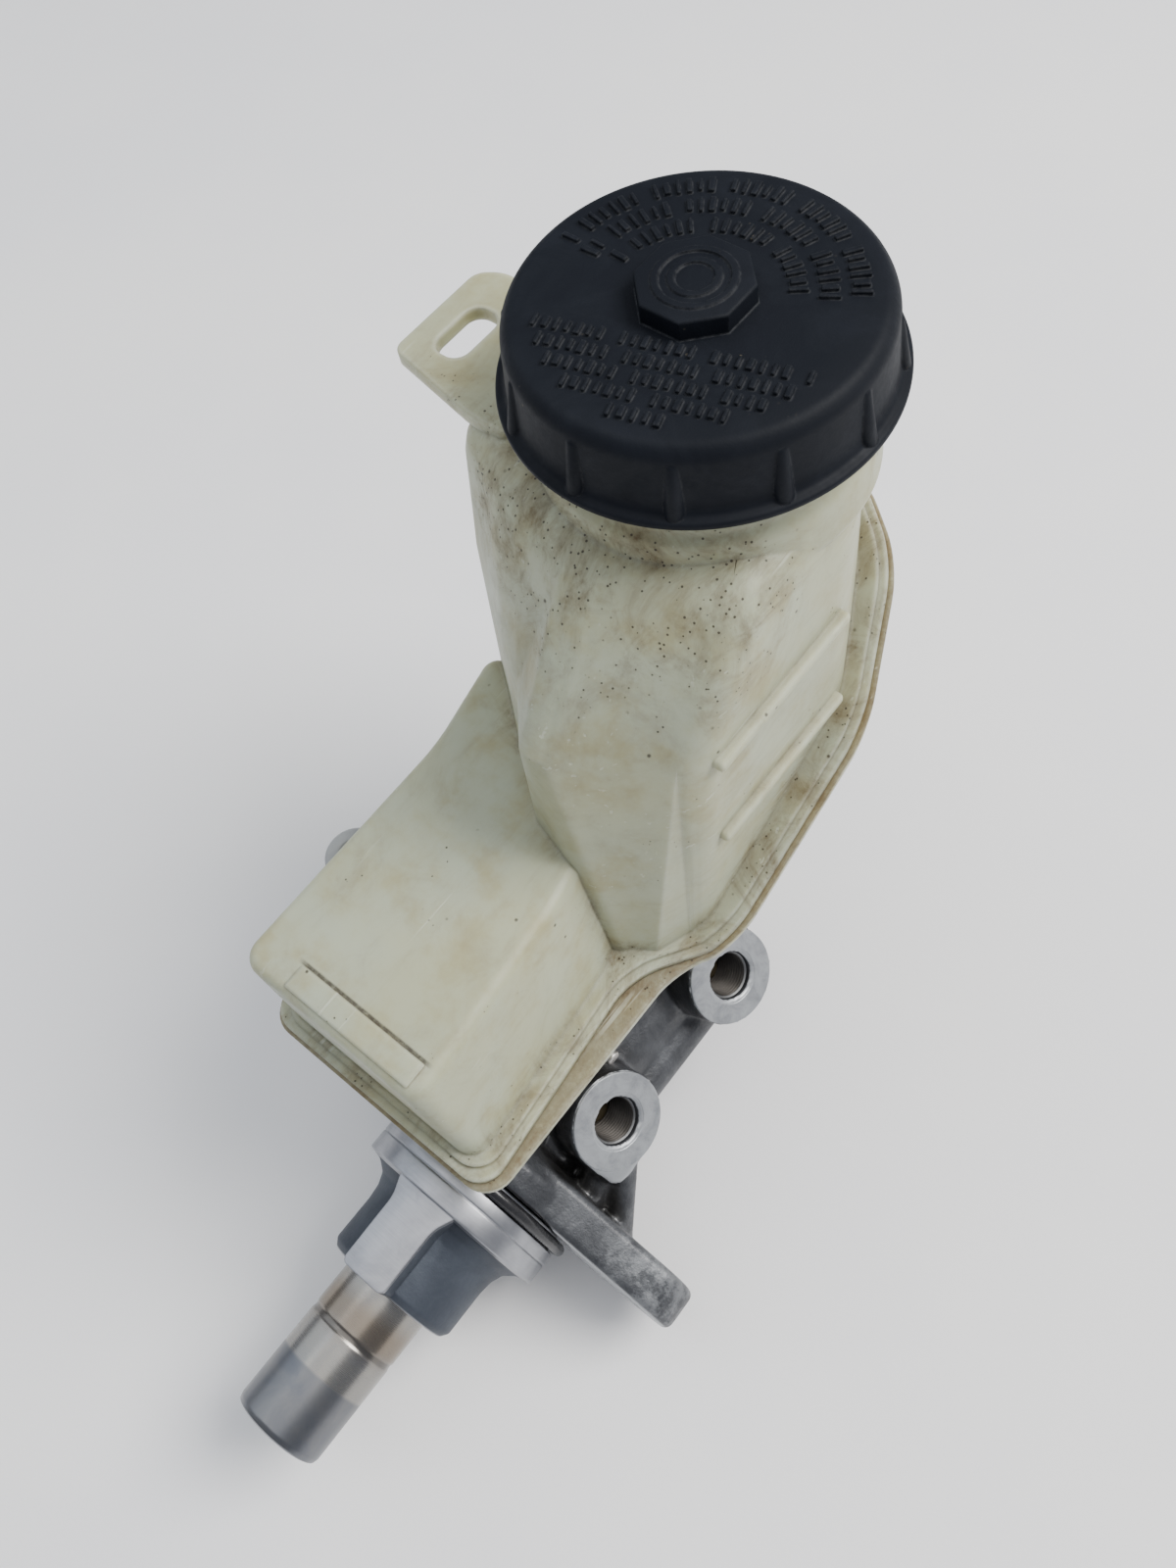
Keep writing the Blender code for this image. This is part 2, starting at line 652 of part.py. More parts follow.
def reservoir_block(name, grow, low, wing_top, roof):
    wing = loft_mesh([(low, wing_outline(grow)), (wing_top, wing_outline(grow, True))],
                     4.0 + min(grow, 0.0) * 0.6)
    crest = [edge for edge in wing.edges
             if all(abs(vert.co.z - wing_top) < 0.01 for vert in edge.verts)]
    bmesh.ops.bevel(wing, geom=crest, offset=2.2, offset_type="OFFSET", segments=2, profile=0.5,
                    affect="EDGES", material=-1)
    block = finish_piece(wing, name)
    neck = loft_mesh(neck_levels(grow, low - 1.0, roof), 4.5 + min(grow, 0.0) * 0.6)
    crest = [edge for edge in neck.edges
             if all(abs(vert.co.z - roof) < 0.01 for vert in edge.verts)]
    bmesh.ops.bevel(neck, geom=crest, offset=3.0, offset_type="OFFSET", segments=2, profile=0.5,
                    affect="EDGES", material=-1)
    add(block, finish_piece(neck, "neck"))
    return block


def rim_outline(wide):
    if wide:
        return [(-49.6, -5.4), (20.0, -5.4), (20.0, 60.0), (28.0, 73.0), (28.4, 122.0),
                (15.0, 152.0), (-2.0, 164.0), (-38.0, 163.0), (-58.0, 145.0), (-58.0, 86.0),
                (-49.6, 62.0)]
    return [(-49.0, -4.6), (18.6, -4.6), (13.4, 52.0), (26.8, 72.0), (27.2, 121.4),
            (14.0, 151.0), (-2.8, 163.0), (-37.4, 162.0), (-57.2, 144.6), (-57.2, 86.4),
            (-49.0, 62.0)]


def rim_plate(name, wide, low, high):
    mesh = loft_mesh([(0.0, rim_outline(wide)), (160.0, rim_outline(wide))], 7.0, 3)
    plate = finish_piece(mesh, name)
    return keep(plate, seam_slab("seam", low, high))


def build_lower_shell(material):
    shell = reservoir_block("reservoir_lower_shell", -TRAY_INSET, 14.0, 99.0, 149.0)
    outline = [(-20.0, FLOOR_Z), (FLOOR_BEND_Y, FLOOR_Z), (175.0, FLOOR_Z + 85.0 * SEAM_SLOPE)]
    ends = (175.0, SEAM_BEND_Y, -20.0)
    outline += [(y, seam_height(y) - 0.15) for y in ends]
    keep(shell, profile_slab("tray", outline, -90.0, 60.0))
    add(shell, rim_plate("rim", True, -RIM - 0.15, -0.15))
    for y in INLET_Y:
        add(shell, rod_between("spigot", (0.0, y, 21.6), (0.0, y, FLOOR_Z + 2.0), SPIGOT_R, 24))
    for side in (-1.0, 1.0):
        low_x = min(side * 9.4, side * 13.6)
        high_x = max(side * 9.4, side * 13.6)
        lug = box_mesh((low_x, PIN_Y - 4.0, PIN_Z - 3.3), (high_x, PIN_Y + 4.6, FLOOR_Z + 1.0))
        add(shell, finish_piece(lug, "pin_lug"))
    inside = reservoir_block("inside", -TRAY_INSET - WALL, 15.0, 99.0, 149.0)
    hollow = [(-20.0, FLOOR_Z + WALL), (FLOOR_BEND_Y - 1.4, FLOOR_Z + WALL),
              (175.0, FLOOR_Z + WALL + 86.4 * SEAM_SLOPE)]
    hollow += [(175.0, 140.0), (-20.0, 140.0)]
    keep(inside, profile_slab("hollow", hollow, -90.0, 60.0))
    cut(shell, inside)
    add(shell, rod_between("float_post", (FLOAT_X, FLOAT_Y, FLOOR_Z + 1.0),
                           (FLOAT_X, FLOAT_Y, 68.0), 2.0, 12))
    for y in INLET_Y:
        cut(shell, rod_between("spigot_bore", (0.0, y, 10.0), (0.0, y, FLOOR_Z + 6.0), 3.6, 16))
    cut(shell, rod_between("lug_hole", (-30.0, PIN_Y, PIN_Z), (30.0, PIN_Y, PIN_Z),
                           PIN_R + GAP, 12))
    return dress(shell, material)


def bracket_ear():
    corners = [(-75.0, 104.0), (-50.0, 99.0), (-41.0, 99.0), (-41.0, 132.0), (-70.0, 132.0),
               (-75.0, 129.0)]
    mesh = loft_mesh([(EAR_Z - EAR_THICK, corners), (EAR_Z, corners)], 2.0, 2)
    ear = finish_piece(mesh, "bracket_ear")
    low_end = 108.0
    high_end = 122.0
    slot = [(-69.0, low_end), (-61.0, low_end), (-61.0, high_end), (-69.0, high_end)]
    mesh = loft_mesh([(EAR_Z - 9.0, slot), (EAR_Z + 6.0, slot)], 3.3, 3)
    return cut(ear, finish_piece(mesh, "slot"))


def build_upper_shell(material):
    shell = reservoir_block("reservoir_upper_shell", 0.0, 30.0, WING_TOP, ROOF_Z)
    keep(shell, seam_slab("above_seam", 0.15, 150.0))
    add(shell, rim_plate("rim", False, 0.15, RIM + 0.15))
    add(shell, bracket_ear())
    collar = [(0.0, ROOF_Z - 6.0), (COLLAR_R + 3.0, ROOF_Z - 6.0), (COLLAR_R + 1.6, ROOF_Z + 3.0),
              (COLLAR_R, ROOF_Z + 5.0), (COLLAR_R, 166.6), (COLLAR_R + 1.6, 167.4),
              (COLLAR_R + 1.6, 168.6), (COLLAR_R, 169.4), (COLLAR_R, COLLAR_TOP),
              (0.0, COLLAR_TOP)]
    add(shell, spin_tool("collar", collar, "Z", 36, (NECK_X, NECK_Y, 0.0)))
    for z in (88.0, SHOULDER_Z - 2.0):
        step = box_mesh((14.0, 79.0, z - 1.4), (22.2, 121.0, z + 1.4))
        add(shell, finish_piece(step, "side_rib"))
    pad = box_mesh((-33.0, 0.6, WING_TOP - 4.0), (2.0, 6.4, WING_TOP + 0.7))
    add(shell, finish_piece(pad, "pad"))
    foot = spin_tool("switch_foot", rod_profile(6.6, SEAM_Z + 0.4, SEAM_Z + RIM - 0.1), "Z", 24,
                     (SWITCH_X, SWITCH_Y, 0.0))
    add(shell, foot)
    inside = reservoir_block("inside", -WALL, 28.0, WING_TOP - WALL, ROOF_Z - WALL)
    cut(shell, inside)
    mouth = [(0.0, ROOF_Z - 12.0), (COLLAR_BORE_R, ROOF_Z - 12.0), (COLLAR_BORE_R, 165.0),
             (COLLAR_BORE_R + 1.4, 165.0), (COLLAR_BORE_R + 1.4, COLLAR_TOP + 5.0),
             (0.0, COLLAR_TOP + 5.0)]
    cut(shell, spin_tool("mouth", mouth, "Z", 36, (NECK_X, NECK_Y, 0.0)))
    cut(shell, rod_between("switch_hole", (SWITCH_X, SWITCH_Y, 40.0), (SWITCH_X, SWITCH_Y, 60.0),
                           3.0 + GAP, 12))
    return dress(shell, material)


def build_pin(material):
    pin = rod_between("reservoir_pin", (-16.5, PIN_Y, PIN_Z), (16.5, PIN_Y, PIN_Z), PIN_R, 16)
    return dress(pin, material)


def build_strainer(material):
    centre = (NECK_X, NECK_Y, 0.0)
    profile = [(0.0, 137.0), (23.2, 137.0), (24.6, 164.0), (25.6, 165.3), (27.1, 165.3),
               (27.1, 166.6), (24.4, 166.6), (23.6, 164.6), (22.4, 138.4), (0.0, 138.4)]
    strainer = spin_tool("filler_strainer", profile, "Z", 32, centre)
    for turn in range(4):
        angle = math.radians(45.0 * turn + 22.5)
        mesh = box_mesh((-40.0, -4.2, 142.0), (40.0, 4.2, 158.0))
        bmesh.ops.rotate(mesh, verts=mesh.verts, cent=(0.0, 0.0, 0.0),
                         matrix=Matrix.Rotation(angle, 3, "Z"))
        bmesh.ops.translate(mesh, verts=mesh.verts, vec=centre)
        cut(strainer, finish_piece(mesh, "window"))
    return dress(strainer, material)


def build_float(material):
    centre = (FLOAT_X, FLOAT_Y, 0.0)
    profile = [(2.6, 39.0), (FLOAT_R - 0.8, 39.0), (FLOAT_R, 39.8), (FLOAT_R, 47.2),
               (FLOAT_R - 0.8, 48.0), (6.6, 48.0), (6.6, 44.6), (3.4, 44.6), (3.4, 48.0),
               (2.6, 48.0)]
    mesh = spin_profile(profile, "Z", 28, centre)
    shade_round(finish_piece(mesh, "level_float", material, (FLOAT_X, FLOAT_Y, 39.0)))


def build_magnet(material):
    mesh = spin_profile(tube_profile(3.7, 6.3, 44.9, 47.7), "Z", 20, (FLOAT_X, FLOAT_Y, 0.0))
    shade_round(finish_piece(mesh, "float_magnet", material, (FLOAT_X, FLOAT_Y, 39.0)))


def build_switch(material):
    top = 63.5
    seat = SEAM_Z + RIM + 0.15 + GAP
    profile = [(0.0, top), (SWITCH_R - 1.6, top), (SWITCH_R - 0.4, top - 0.8),
               (SWITCH_R, top - 2.4), (SWITCH_R, seat), (3.0, seat), (3.0, 44.0), (2.2, 42.6),
               (0.0, 42.6)]
    mesh = spin_profile(profile, "Z", 28, (SWITCH_X, SWITCH_Y, 0.0))
    shade_round(finish_piece(mesh, "level_switch", material))


def build_terminals(material):
    for label, shift in (("a", -1.1), ("b", 1.1)):
        mesh = box_mesh((SWITCH_X - 0.5, SWITCH_Y + shift - 0.35, 37.0),
                        (SWITCH_X + 0.5, SWITCH_Y + shift + 0.35, 42.3))
        finish_piece(mesh, f"switch_terminal_{label}", material)


def build_cap(material):
    centre = (NECK_X, NECK_Y, 0.0)
    side_low = CAP_LIP_Z + 2.2
    profile = [(0.0, CAP_TOP_Z), (CAP_SIDE_R - 4.2, CAP_TOP_Z), (CAP_SIDE_R - 1.8, CAP_TOP_Z - 0.9),
               (CAP_SIDE_R - 0.7, CAP_TOP_Z - 2.6), (CAP_SIDE_R, side_low),
               (CAP_LIP_R, side_low - 0.5), (CAP_LIP_R, CAP_LIP_Z), (CAP_INNER_R, CAP_LIP_Z),
               (CAP_INNER_R, 176.2), (0.0, 176.2)]
    cap = spin_tool("reservoir_cap", profile, "Z", 36, centre)
    for step in range(CAP_RIBS):
        angle = 2.0 * math.pi * step / CAP_RIBS
        across = Vector((math.cos(angle), math.sin(angle), 0.0)) * CAP_SIDE_R
        foot = Vector(centre) + across + Vector((0.0, 0.0, CAP_LIP_Z + 1.0))
        add(cap, rod_between("grip_rib", foot, foot + Vector((0.0, 0.0, 13.0)), 1.7, 10))
    crown = Vector((NECK_X, NECK_Y, CAP_TOP_Z - 1.0))
    add(cap, rod_between("octagon", crown, crown + Vector((0.0, 0.0, 4.6)), 10.5, 8))
    piece = dress(cap, material)
    piece.data.transform(Matrix.Translation(-Vector(centre) * MM))
    piece.location = Vector(centre) * MM
    return piece


def build_cap_seal(material):
    # rim gasket with a folded bellows hanging in the filler neck
    profile = [(0.0, 161.0), (19.6, 161.0), (20.6, 162.4), (21.0, 172.9), (30.6, 172.9),
               (30.6, 174.6), (19.6, 174.6), (19.2, 162.6), (0.0, 162.6)]
    mesh = spin_profile(profile, "Z", 32, (NECK_X, NECK_Y, 0.0))
    shade_round(finish_piece(mesh, "cap_seal", material, (NECK_X, NECK_Y, 0.0)))


def build_all():
    clear_scene()
    build_body(cast_aluminium())
    build_port_seats(make_material("seat_metal", (0.45, 0.4, 0.28), 1.0, 0.35))
    build_guide(turned_aluminium("guide_metal"))
    build_ring("flange_o_ring", black_rubber("o_ring_rubber"), 26.5, 1.65, -2.1, 32)
    build_ring("guide_o_ring", black_rubber("guide_ring_rubber"), 18.4, 0.85, 4.0, 24, 6)
    build_guide_bush(grey_plastic("bush_plastic"))
    build_snap_ring(spring_steel("snap_ring_steel"))
    cups = ("guide_cup", "primary_cup", "divider_cup", "secondary_cup")
    for name, groove, forward in zip(cups, CUP_GROOVES, (True, True, False, True)):
        build_cup(name, black_rubber(name + "_rubber"), groove[0], forward)
    build_primary_piston(bright_steel("piston_steel"))
    build_stem("primary_stem", spring_steel("primary_stem_steel"), -8.0, 0.3, 33.0)
    build_retainer("primary_spring_retainer", bright_steel("retainer_steel"), 30.6, 45.7)
    build_spring("primary_spring", spring_steel("primary_spring_steel"), 0.3, 44.1, 6.6, 0.9, 6.0)
    build_secondary_piston(turned_aluminium("secondary_piston_metal"))
    build_stem("secondary_stem", spring_steel("secondary_stem_steel"), 47.5, 52.3, 68.6)
    build_retainer("secondary_spring_retainer", bright_steel("front_retainer_steel"), 66.6, 85.7)
    build_spring("secondary_spring", spring_steel("secondary_spring_steel"), 52.3, 84.1, 6.6, 0.9,
                 5.0)
    build_grommet("grommet_rear", black_rubber("grommet_rubber"), INLET_Y[0])
    build_grommet("grommet_front", black_rubber("front_grommet_rubber"), INLET_Y[1])
    build_lower_shell(milky_plastic("lower_shell_plastic"))
    build_upper_shell(milky_plastic("upper_shell_plastic"))
    build_pin(bright_steel("pin_steel"))
    build_strainer(white_plastic("strainer_plastic"))
    build_float(black_plastic("float_plastic"))
    build_magnet(spring_steel("magnet_metal"))
    build_switch(grey_plastic("switch_plastic"))
    build_terminals(make_material("terminal_metal", (0.6, 0.5, 0.25), 1.0, 0.3))
    build_cap(black_plastic("cap_plastic"))
    build_cap_seal(black_rubber("cap_seal_rubber"))


build_all()
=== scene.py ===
import math

import bmesh
import bpy
from mathutils import Matrix, Vector


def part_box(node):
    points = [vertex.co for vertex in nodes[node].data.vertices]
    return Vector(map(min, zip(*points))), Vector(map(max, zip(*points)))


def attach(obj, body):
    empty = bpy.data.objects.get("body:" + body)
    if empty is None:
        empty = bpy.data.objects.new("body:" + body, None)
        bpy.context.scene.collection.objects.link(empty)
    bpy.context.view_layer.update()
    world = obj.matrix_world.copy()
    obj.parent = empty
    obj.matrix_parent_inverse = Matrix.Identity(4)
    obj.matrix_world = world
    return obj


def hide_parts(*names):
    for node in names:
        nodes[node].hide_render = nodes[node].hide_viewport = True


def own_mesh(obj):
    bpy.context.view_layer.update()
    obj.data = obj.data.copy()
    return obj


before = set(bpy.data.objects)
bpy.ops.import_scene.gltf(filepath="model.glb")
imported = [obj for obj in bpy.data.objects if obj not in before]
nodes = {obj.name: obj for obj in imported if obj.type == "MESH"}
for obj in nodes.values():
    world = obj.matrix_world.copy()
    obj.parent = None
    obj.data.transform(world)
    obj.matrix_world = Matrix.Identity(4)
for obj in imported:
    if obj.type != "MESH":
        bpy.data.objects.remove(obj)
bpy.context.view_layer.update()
mm = 0.001


# shader wiring: sockets that can be added, multiplied and compared

class Wire:
    def __init__(self, tree, socket):
        self.tree = tree
        self.socket = socket

    def sum(self, operation, first, second=None, third=None):
        node = self.tree.nodes.new("ShaderNodeMath")
        node.operation = operation
        for place, value in zip(node.inputs, (first, second, third)):
            if isinstance(value, Wire):
                self.tree.links.new(value.socket, place)
            elif value is not None:
                place.default_value = value
        return Wire(self.tree, node.outputs[0])

    def __add__(self, other):
        return self.sum("ADD", self, other)

    def __radd__(self, other):
        return self.sum("ADD", other, self)

    def __sub__(self, other):
        return self.sum("SUBTRACT", self, other)

    def __rsub__(self, other):
        return self.sum("SUBTRACT", other, self)

    def __mul__(self, other):
        return self.sum("MULTIPLY", self, other)

    def __rmul__(self, other):
        return self.sum("MULTIPLY", other, self)

    def __pow__(self, other):
        return self.sum("POWER", self, other)

    def __abs__(self):
        return self.sum("ABSOLUTE", self)

    def atLeast(self, other):
        return self.sum("MAXIMUM", self, other)

    def atMost(self, other):
        return self.sum("MINIMUM", self, other)

    def fade(self, low, high):
        node = self.tree.nodes.new("ShaderNodeMapRange")
        node.interpolation_type = "SMOOTHSTEP"
        self.tree.links.new(self.socket, node.inputs["Value"])
        turned = low > high
        node.inputs["From Min"].default_value = min(low, high)
        node.inputs["From Max"].default_value = max(low, high)
        node.inputs["To Min"].default_value = 1.0 if turned else 0.0
        node.inputs["To Max"].default_value = 0.0 if turned else 1.0
        return Wire(self.tree, node.outputs["Result"])


class Finish:
    # one material and the nodes behind it
    def __init__(self, name):
        self.material = bpy.data.materials.new(name)
        self.material.use_nodes = True
        self.tree = self.material.node_tree
        self.shader = self.tree.nodes["Principled BSDF"]
        self.place = self.node("ShaderNodeTexCoord", out="Object")
        parts = self.node("ShaderNodeSeparateXYZ", {}, {"Vector": self.place}, out=None)
        self.x = Wire(self.tree, parts.outputs["X"])
        self.y = Wire(self.tree, parts.outputs["Y"])
        self.z = Wire(self.tree, parts.outputs["Z"])

    def node(self, kind, settings=None, values=None, out=0):
        made = self.tree.nodes.new(kind)
        for key, value in (settings or {}).items():
            setattr(made, key, value)
        for key, value in (values or {}).items():
            if isinstance(value, Wire):
                self.tree.links.new(value.socket, made.inputs[key])
            elif isinstance(value, tuple) and len(value) == 3 and made.inputs[key].type == "RGBA":
                made.inputs[key].default_value = (*value, 1.0)
            else:
                made.inputs[key].default_value = value
        if out is None:
            return made
        return Wire(self.tree, made.outputs[out])

    def stretched(self, scale, turn=(0.0, 0.0, 0.0)):
        values = {"Vector": self.place, "Rotation": turn, "Scale": scale}
        return self.node("ShaderNodeMapping", {}, values)

    def noise(self, size, detail=4.0, rough=0.55, twist=0.0, place=None):
        # size is the width of one blotch in metres
        values = {"Vector": place or self.place, "Scale": 1.0 / size, "Detail": detail,
                  "Roughness": rough, "Distortion": twist}
        return self.node("ShaderNodeTexNoise", {}, values, "Fac")

    def cells(self, size):
        # 0 at the middle of each cell
        values = {"Vector": self.place, "Scale": 1.0 / size}
        return self.node("ShaderNodeTexVoronoi", {}, values, "Distance")

    def blend(self, share, low, high):
        values = {0: share, 6: low, 7: high}
        return self.node("ShaderNodeMix", {"data_type": "RGBA", "clamp_factor": True}, values, 2)

    def crevice(self, reach, power=1.0):
        # 1 in corners and under overhangs, 0 in the open
        clear = self.node("ShaderNodeAmbientOcclusion", {"samples": 6}, {"Distance": reach}, "AO")
        return (1.0 - clear) ** power

    def edge(self, radius, low=0.02, high=0.2):
        # 1 along outer and inner edges
        flat = self.node("ShaderNodeNewGeometry", out="Normal")
        same = self.node("ShaderNodeVectorMath", {"operation": "DOT_PRODUCT"},
                         {0: self.softened(radius), 1: flat}, "Value")
        return (1.0 - same).fade(low, high)

    def softened(self, radius):
        return self.node("ShaderNodeBevel", {"samples": 4}, {"Radius": radius})

    def bump(self, height, depth, strength=1.0, below=None):
        values = {"Height": height, "Distance": depth, "Strength": strength}
        if below is not None:
            values["Normal"] = below
        return self.node("ShaderNodeBump", {}, values)

    def fromBore(self):
        return (self.x * self.x + self.z * self.z) ** 0.5

    def set(self, **values):
        names = {"colour": "Base Color", "metal": "Metallic", "rough": "Roughness",
                 "normal": "Normal", "coat": "Coat Weight", "coatRough": "Coat Roughness",
                 "ior": "IOR", "under": "Subsurface Weight", "underReach": "Subsurface Scale",
                 "underColour": "Subsurface Radius", "specular": "Specular IOR Level",
                 "brushed": "Anisotropic"}
        for key, value in values.items():
            socket = self.shader.inputs[names[key]]
            if isinstance(value, Wire):
                self.tree.links.new(value.socket, socket)
            elif key == "colour":
                socket.default_value = (*value, 1.0)
            else:
                socket.default_value = value
        return self.material


# modelling help: meshes are built in millimetres in the part's own frame

def place(mesh, name, material, body, replaced=(), slot=None, sharp=40.0, merge=0.0005):
    if merge:
        bmesh.ops.remove_doubles(mesh, verts=mesh.verts, dist=merge)
    bmesh.ops.recalc_face_normals(mesh, faces=mesh.faces)
    for face in mesh.faces:
        face.smooth = True
    for edge in mesh.edges:
        if len(edge.link_faces) == 2:
            edge.smooth = edge.calc_face_angle(0.0) < math.radians(sharp)
    bmesh.ops.scale(mesh, vec=(mm, mm, mm), verts=mesh.verts)
    data = bpy.data.meshes.new(name)
    mesh.to_mesh(data)
    mesh.free()
    piece = bpy.data.objects.new(name, data)
    bpy.context.scene.collection.objects.link(piece)
    if material is not None:
        data.materials.append(material)
    if body:
        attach(piece, body)
    if replaced:
        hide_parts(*replaced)
    return piece


def lathe(profile, axis, centre=(0.0, 0.0, 0.0), steps=128):
    # profile is (radius, distance along the axis), and closes unless both its ends are on the axis
    mesh = bmesh.new()
    verts = []
    for radius, along in profile:
        spot = (radius, along, 0.0) if axis == "Y" else (radius, 0.0, along)
        verts.append(mesh.verts.new(Vector(spot) + Vector(centre)))
    for first, second in zip(verts, verts[1:]):
        mesh.edges.new((first, second))
    if profile[0][0] > 0.0 or profile[-1][0] > 0.0:
        mesh.edges.new((verts[-1], verts[0]))
    turn = (0.0, 1.0, 0.0) if axis == "Y" else (0.0, 0.0, 1.0)
    bmesh.ops.spin(mesh, geom=mesh.verts[:] + mesh.edges[:], cent=centre, axis=turn,
                   angle=math.tau, steps=steps, use_merge=True)
    bmesh.ops.remove_doubles(mesh, verts=mesh.verts, dist=0.0005)
    bmesh.ops.dissolve_degenerate(mesh, edges=mesh.edges, dist=0.0005)
    bmesh.ops.recalc_face_normals(mesh, faces=mesh.faces)
    return mesh


def rounded(profile, radius, steps=3):
    # trims each corner of a lathe profile into a small arc
    made = []
    count = len(profile)
    for index, point in enumerate(profile):
        here = Vector(point)
        if index in (0, count - 1):
            made.append(tuple(here))
            continue
        before = Vector(profile[index - 1])
        after = Vector(profile[index + 1])
        back = before - here
        ahead = after - here
        cut = min(radius, back.length * 0.42, ahead.length * 0.42)
        start = here + back.normalized() * cut
        end = here + ahead.normalized() * cut
        for step in range(steps + 1):
            share = step / steps
            first = start.lerp(here, share)
            second = here.lerp(end, share)
            made.append(tuple(first.lerp(second, share)))
    return made


def block(low, high, bevel=0.0, segments=3):
    mesh = bmesh.new()
    size = Vector(high) - Vector(low)
    middle = (Vector(high) + Vector(low)) / 2.0
    bmesh.ops.create_cube(mesh, size=1.0,
                          matrix=Matrix.Translation(middle) @ Matrix.Diagonal((*size, 1.0)))
    if bevel:
        bmesh.ops.bevel(mesh, geom=mesh.edges[:], offset=bevel, segments=segments, profile=0.5,
                        affect="EDGES", material=-1)
    return mesh


def rod(start, end, radius, sides=48, radiusEnd=None, bevel=0.0):
    mesh = bmesh.new()
    start = Vector(start)
    end = Vector(end)
    along = end - start
    turn = along.to_track_quat("Z", "Y").to_matrix().to_4x4()
    last = radius if radiusEnd is None else radiusEnd
    bmesh.ops.create_cone(mesh, cap_ends=True, segments=sides, radius1=radius, radius2=last,
                          depth=along.length,
                          matrix=Matrix.Translation((start + end) / 2.0) @ turn)
    if bevel:
        ends = [edge for edge in mesh.edges if any(len(face.verts) > 4 for face in edge.link_faces)]
        bmesh.ops.bevel(mesh, geom=ends, offset=bevel, segments=3, profile=0.5, affect="EDGES",
                        material=-1)
    return mesh


def extruded(mesh, face, move):
    grown = bmesh.ops.extrude_face_region(mesh, geom=[face])["geom"]
    bmesh.ops.translate(mesh, vec=move,
                        verts=[item for item in grown if isinstance(item, bmesh.types.BMVert)])
    bmesh.ops.recalc_face_normals(mesh, faces=mesh.faces)
    return mesh


def join(mesh, *others):
    for other in others:
        data = bpy.data.meshes.new("joined")
        other.to_mesh(data)
        other.free()
        mesh.from_mesh(data)
        bpy.data.meshes.remove(data)
    return mesh


def tool(mesh):
    # a cutter or filler used by one boolean and then thrown away
    return place(mesh, "tool", None, None)


def applied(piece):
    graph = bpy.context.evaluated_depsgraph_get()
    data = bpy.data.meshes.new_from_object(piece.evaluated_get(graph))
    piece.modifiers.clear()
    piece.data = data
    return piece


def boolean(piece, other, operation):
    modifier = piece.modifiers.new("shape", "BOOLEAN")
    modifier.operation = operation
    modifier.solver = "MANIFOLD"
    modifier.object = other
    applied(piece)
    bpy.data.objects.remove(other, do_unlink=True)
    mesh = bmesh.new()
    mesh.from_mesh(piece.data)
    bmesh.ops.remove_doubles(mesh, verts=mesh.verts, dist=0.000003)
    bmesh.ops.dissolve_degenerate(mesh, edges=mesh.edges, dist=0.000002)
    mesh.to_mesh(piece.data)
    mesh.free()
    return piece


def settle(piece, name, material, body, replaced=(), sharp=32.0):
    # gives a piece made by booleans its name, finish and shading
    mesh = bmesh.new()
    mesh.from_mesh(piece.data)
    for face in mesh.faces:
        face.smooth = True
        face.material_index = 0
    for edge in mesh.edges:
        if len(edge.link_faces) == 2:
            edge.smooth = edge.calc_face_angle(0.0) < math.radians(sharp)
    mesh.to_mesh(piece.data)
    mesh.free()
    piece.name = name
    piece.data.name = name
    piece.data.materials.clear()
    piece.data.materials.append(material)
    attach(piece, body)
    if replaced:
        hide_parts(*replaced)
    return piece


def middle(node):
    low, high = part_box(node)
    return (low + high) / 2.0 / mm


# camera and light

def buildStudio():
    view = {"spot": (0.0954, -0.0087, 0.3293), "turn": (28.038, 7.186, 39.121), "lens": 29.7}
    camera = bpy.data.cameras.new("camera")
    camera.sensor_fit = "VERTICAL"
    camera.sensor_height = 36.0
    camera.lens = view["lens"]
    camera.clip_start = 0.01
    holder = bpy.data.objects.new("camera", camera)
    holder.location = view["spot"]
    holder.rotation_euler = [math.radians(angle) for angle in view["turn"]]
    bpy.context.scene.collection.objects.link(holder)
    bpy.context.scene.camera = holder

    world = bpy.data.worlds.new("studio")
    world.use_nodes = True
    back = world.node_tree.nodes["Background"]
    back.inputs["Color"].default_value = (0.86, 0.9, 1.0, 1.0)
    back.inputs["Strength"].default_value = 0.42
    bpy.context.scene.world = world

    lamps = {
        "window": {"spot": (0.75, 0.75, 1.25), "size": 0.8, "power": 37.0,
                   "colour": (1.0, 0.98, 0.95)},
        "fill": {"spot": (-0.9, -0.2, 0.9), "size": 1.2, "power": 5.0,
                 "colour": (0.85, 0.92, 1.0)},
        "top": {"spot": (0.1, 0.0, 1.5), "size": 1.6, "power": 10.0, "colour": (1.0, 1.0, 1.0)},
    }
    target = Vector((-0.02, 0.05, 0.05))
    for name, lamp in lamps.items():
        light = bpy.data.lights.new(name, "AREA")
        light.size = lamp["size"]
        light.energy = lamp["power"]
        light.color = lamp["colour"]
        item = bpy.data.objects.new(name, light)
        item.location = lamp["spot"]
        item.rotation_euler = (target - item.location).to_track_quat("-Z", "Y").to_euler()
        bpy.context.scene.collection.objects.link(item)
    print("studio ready")


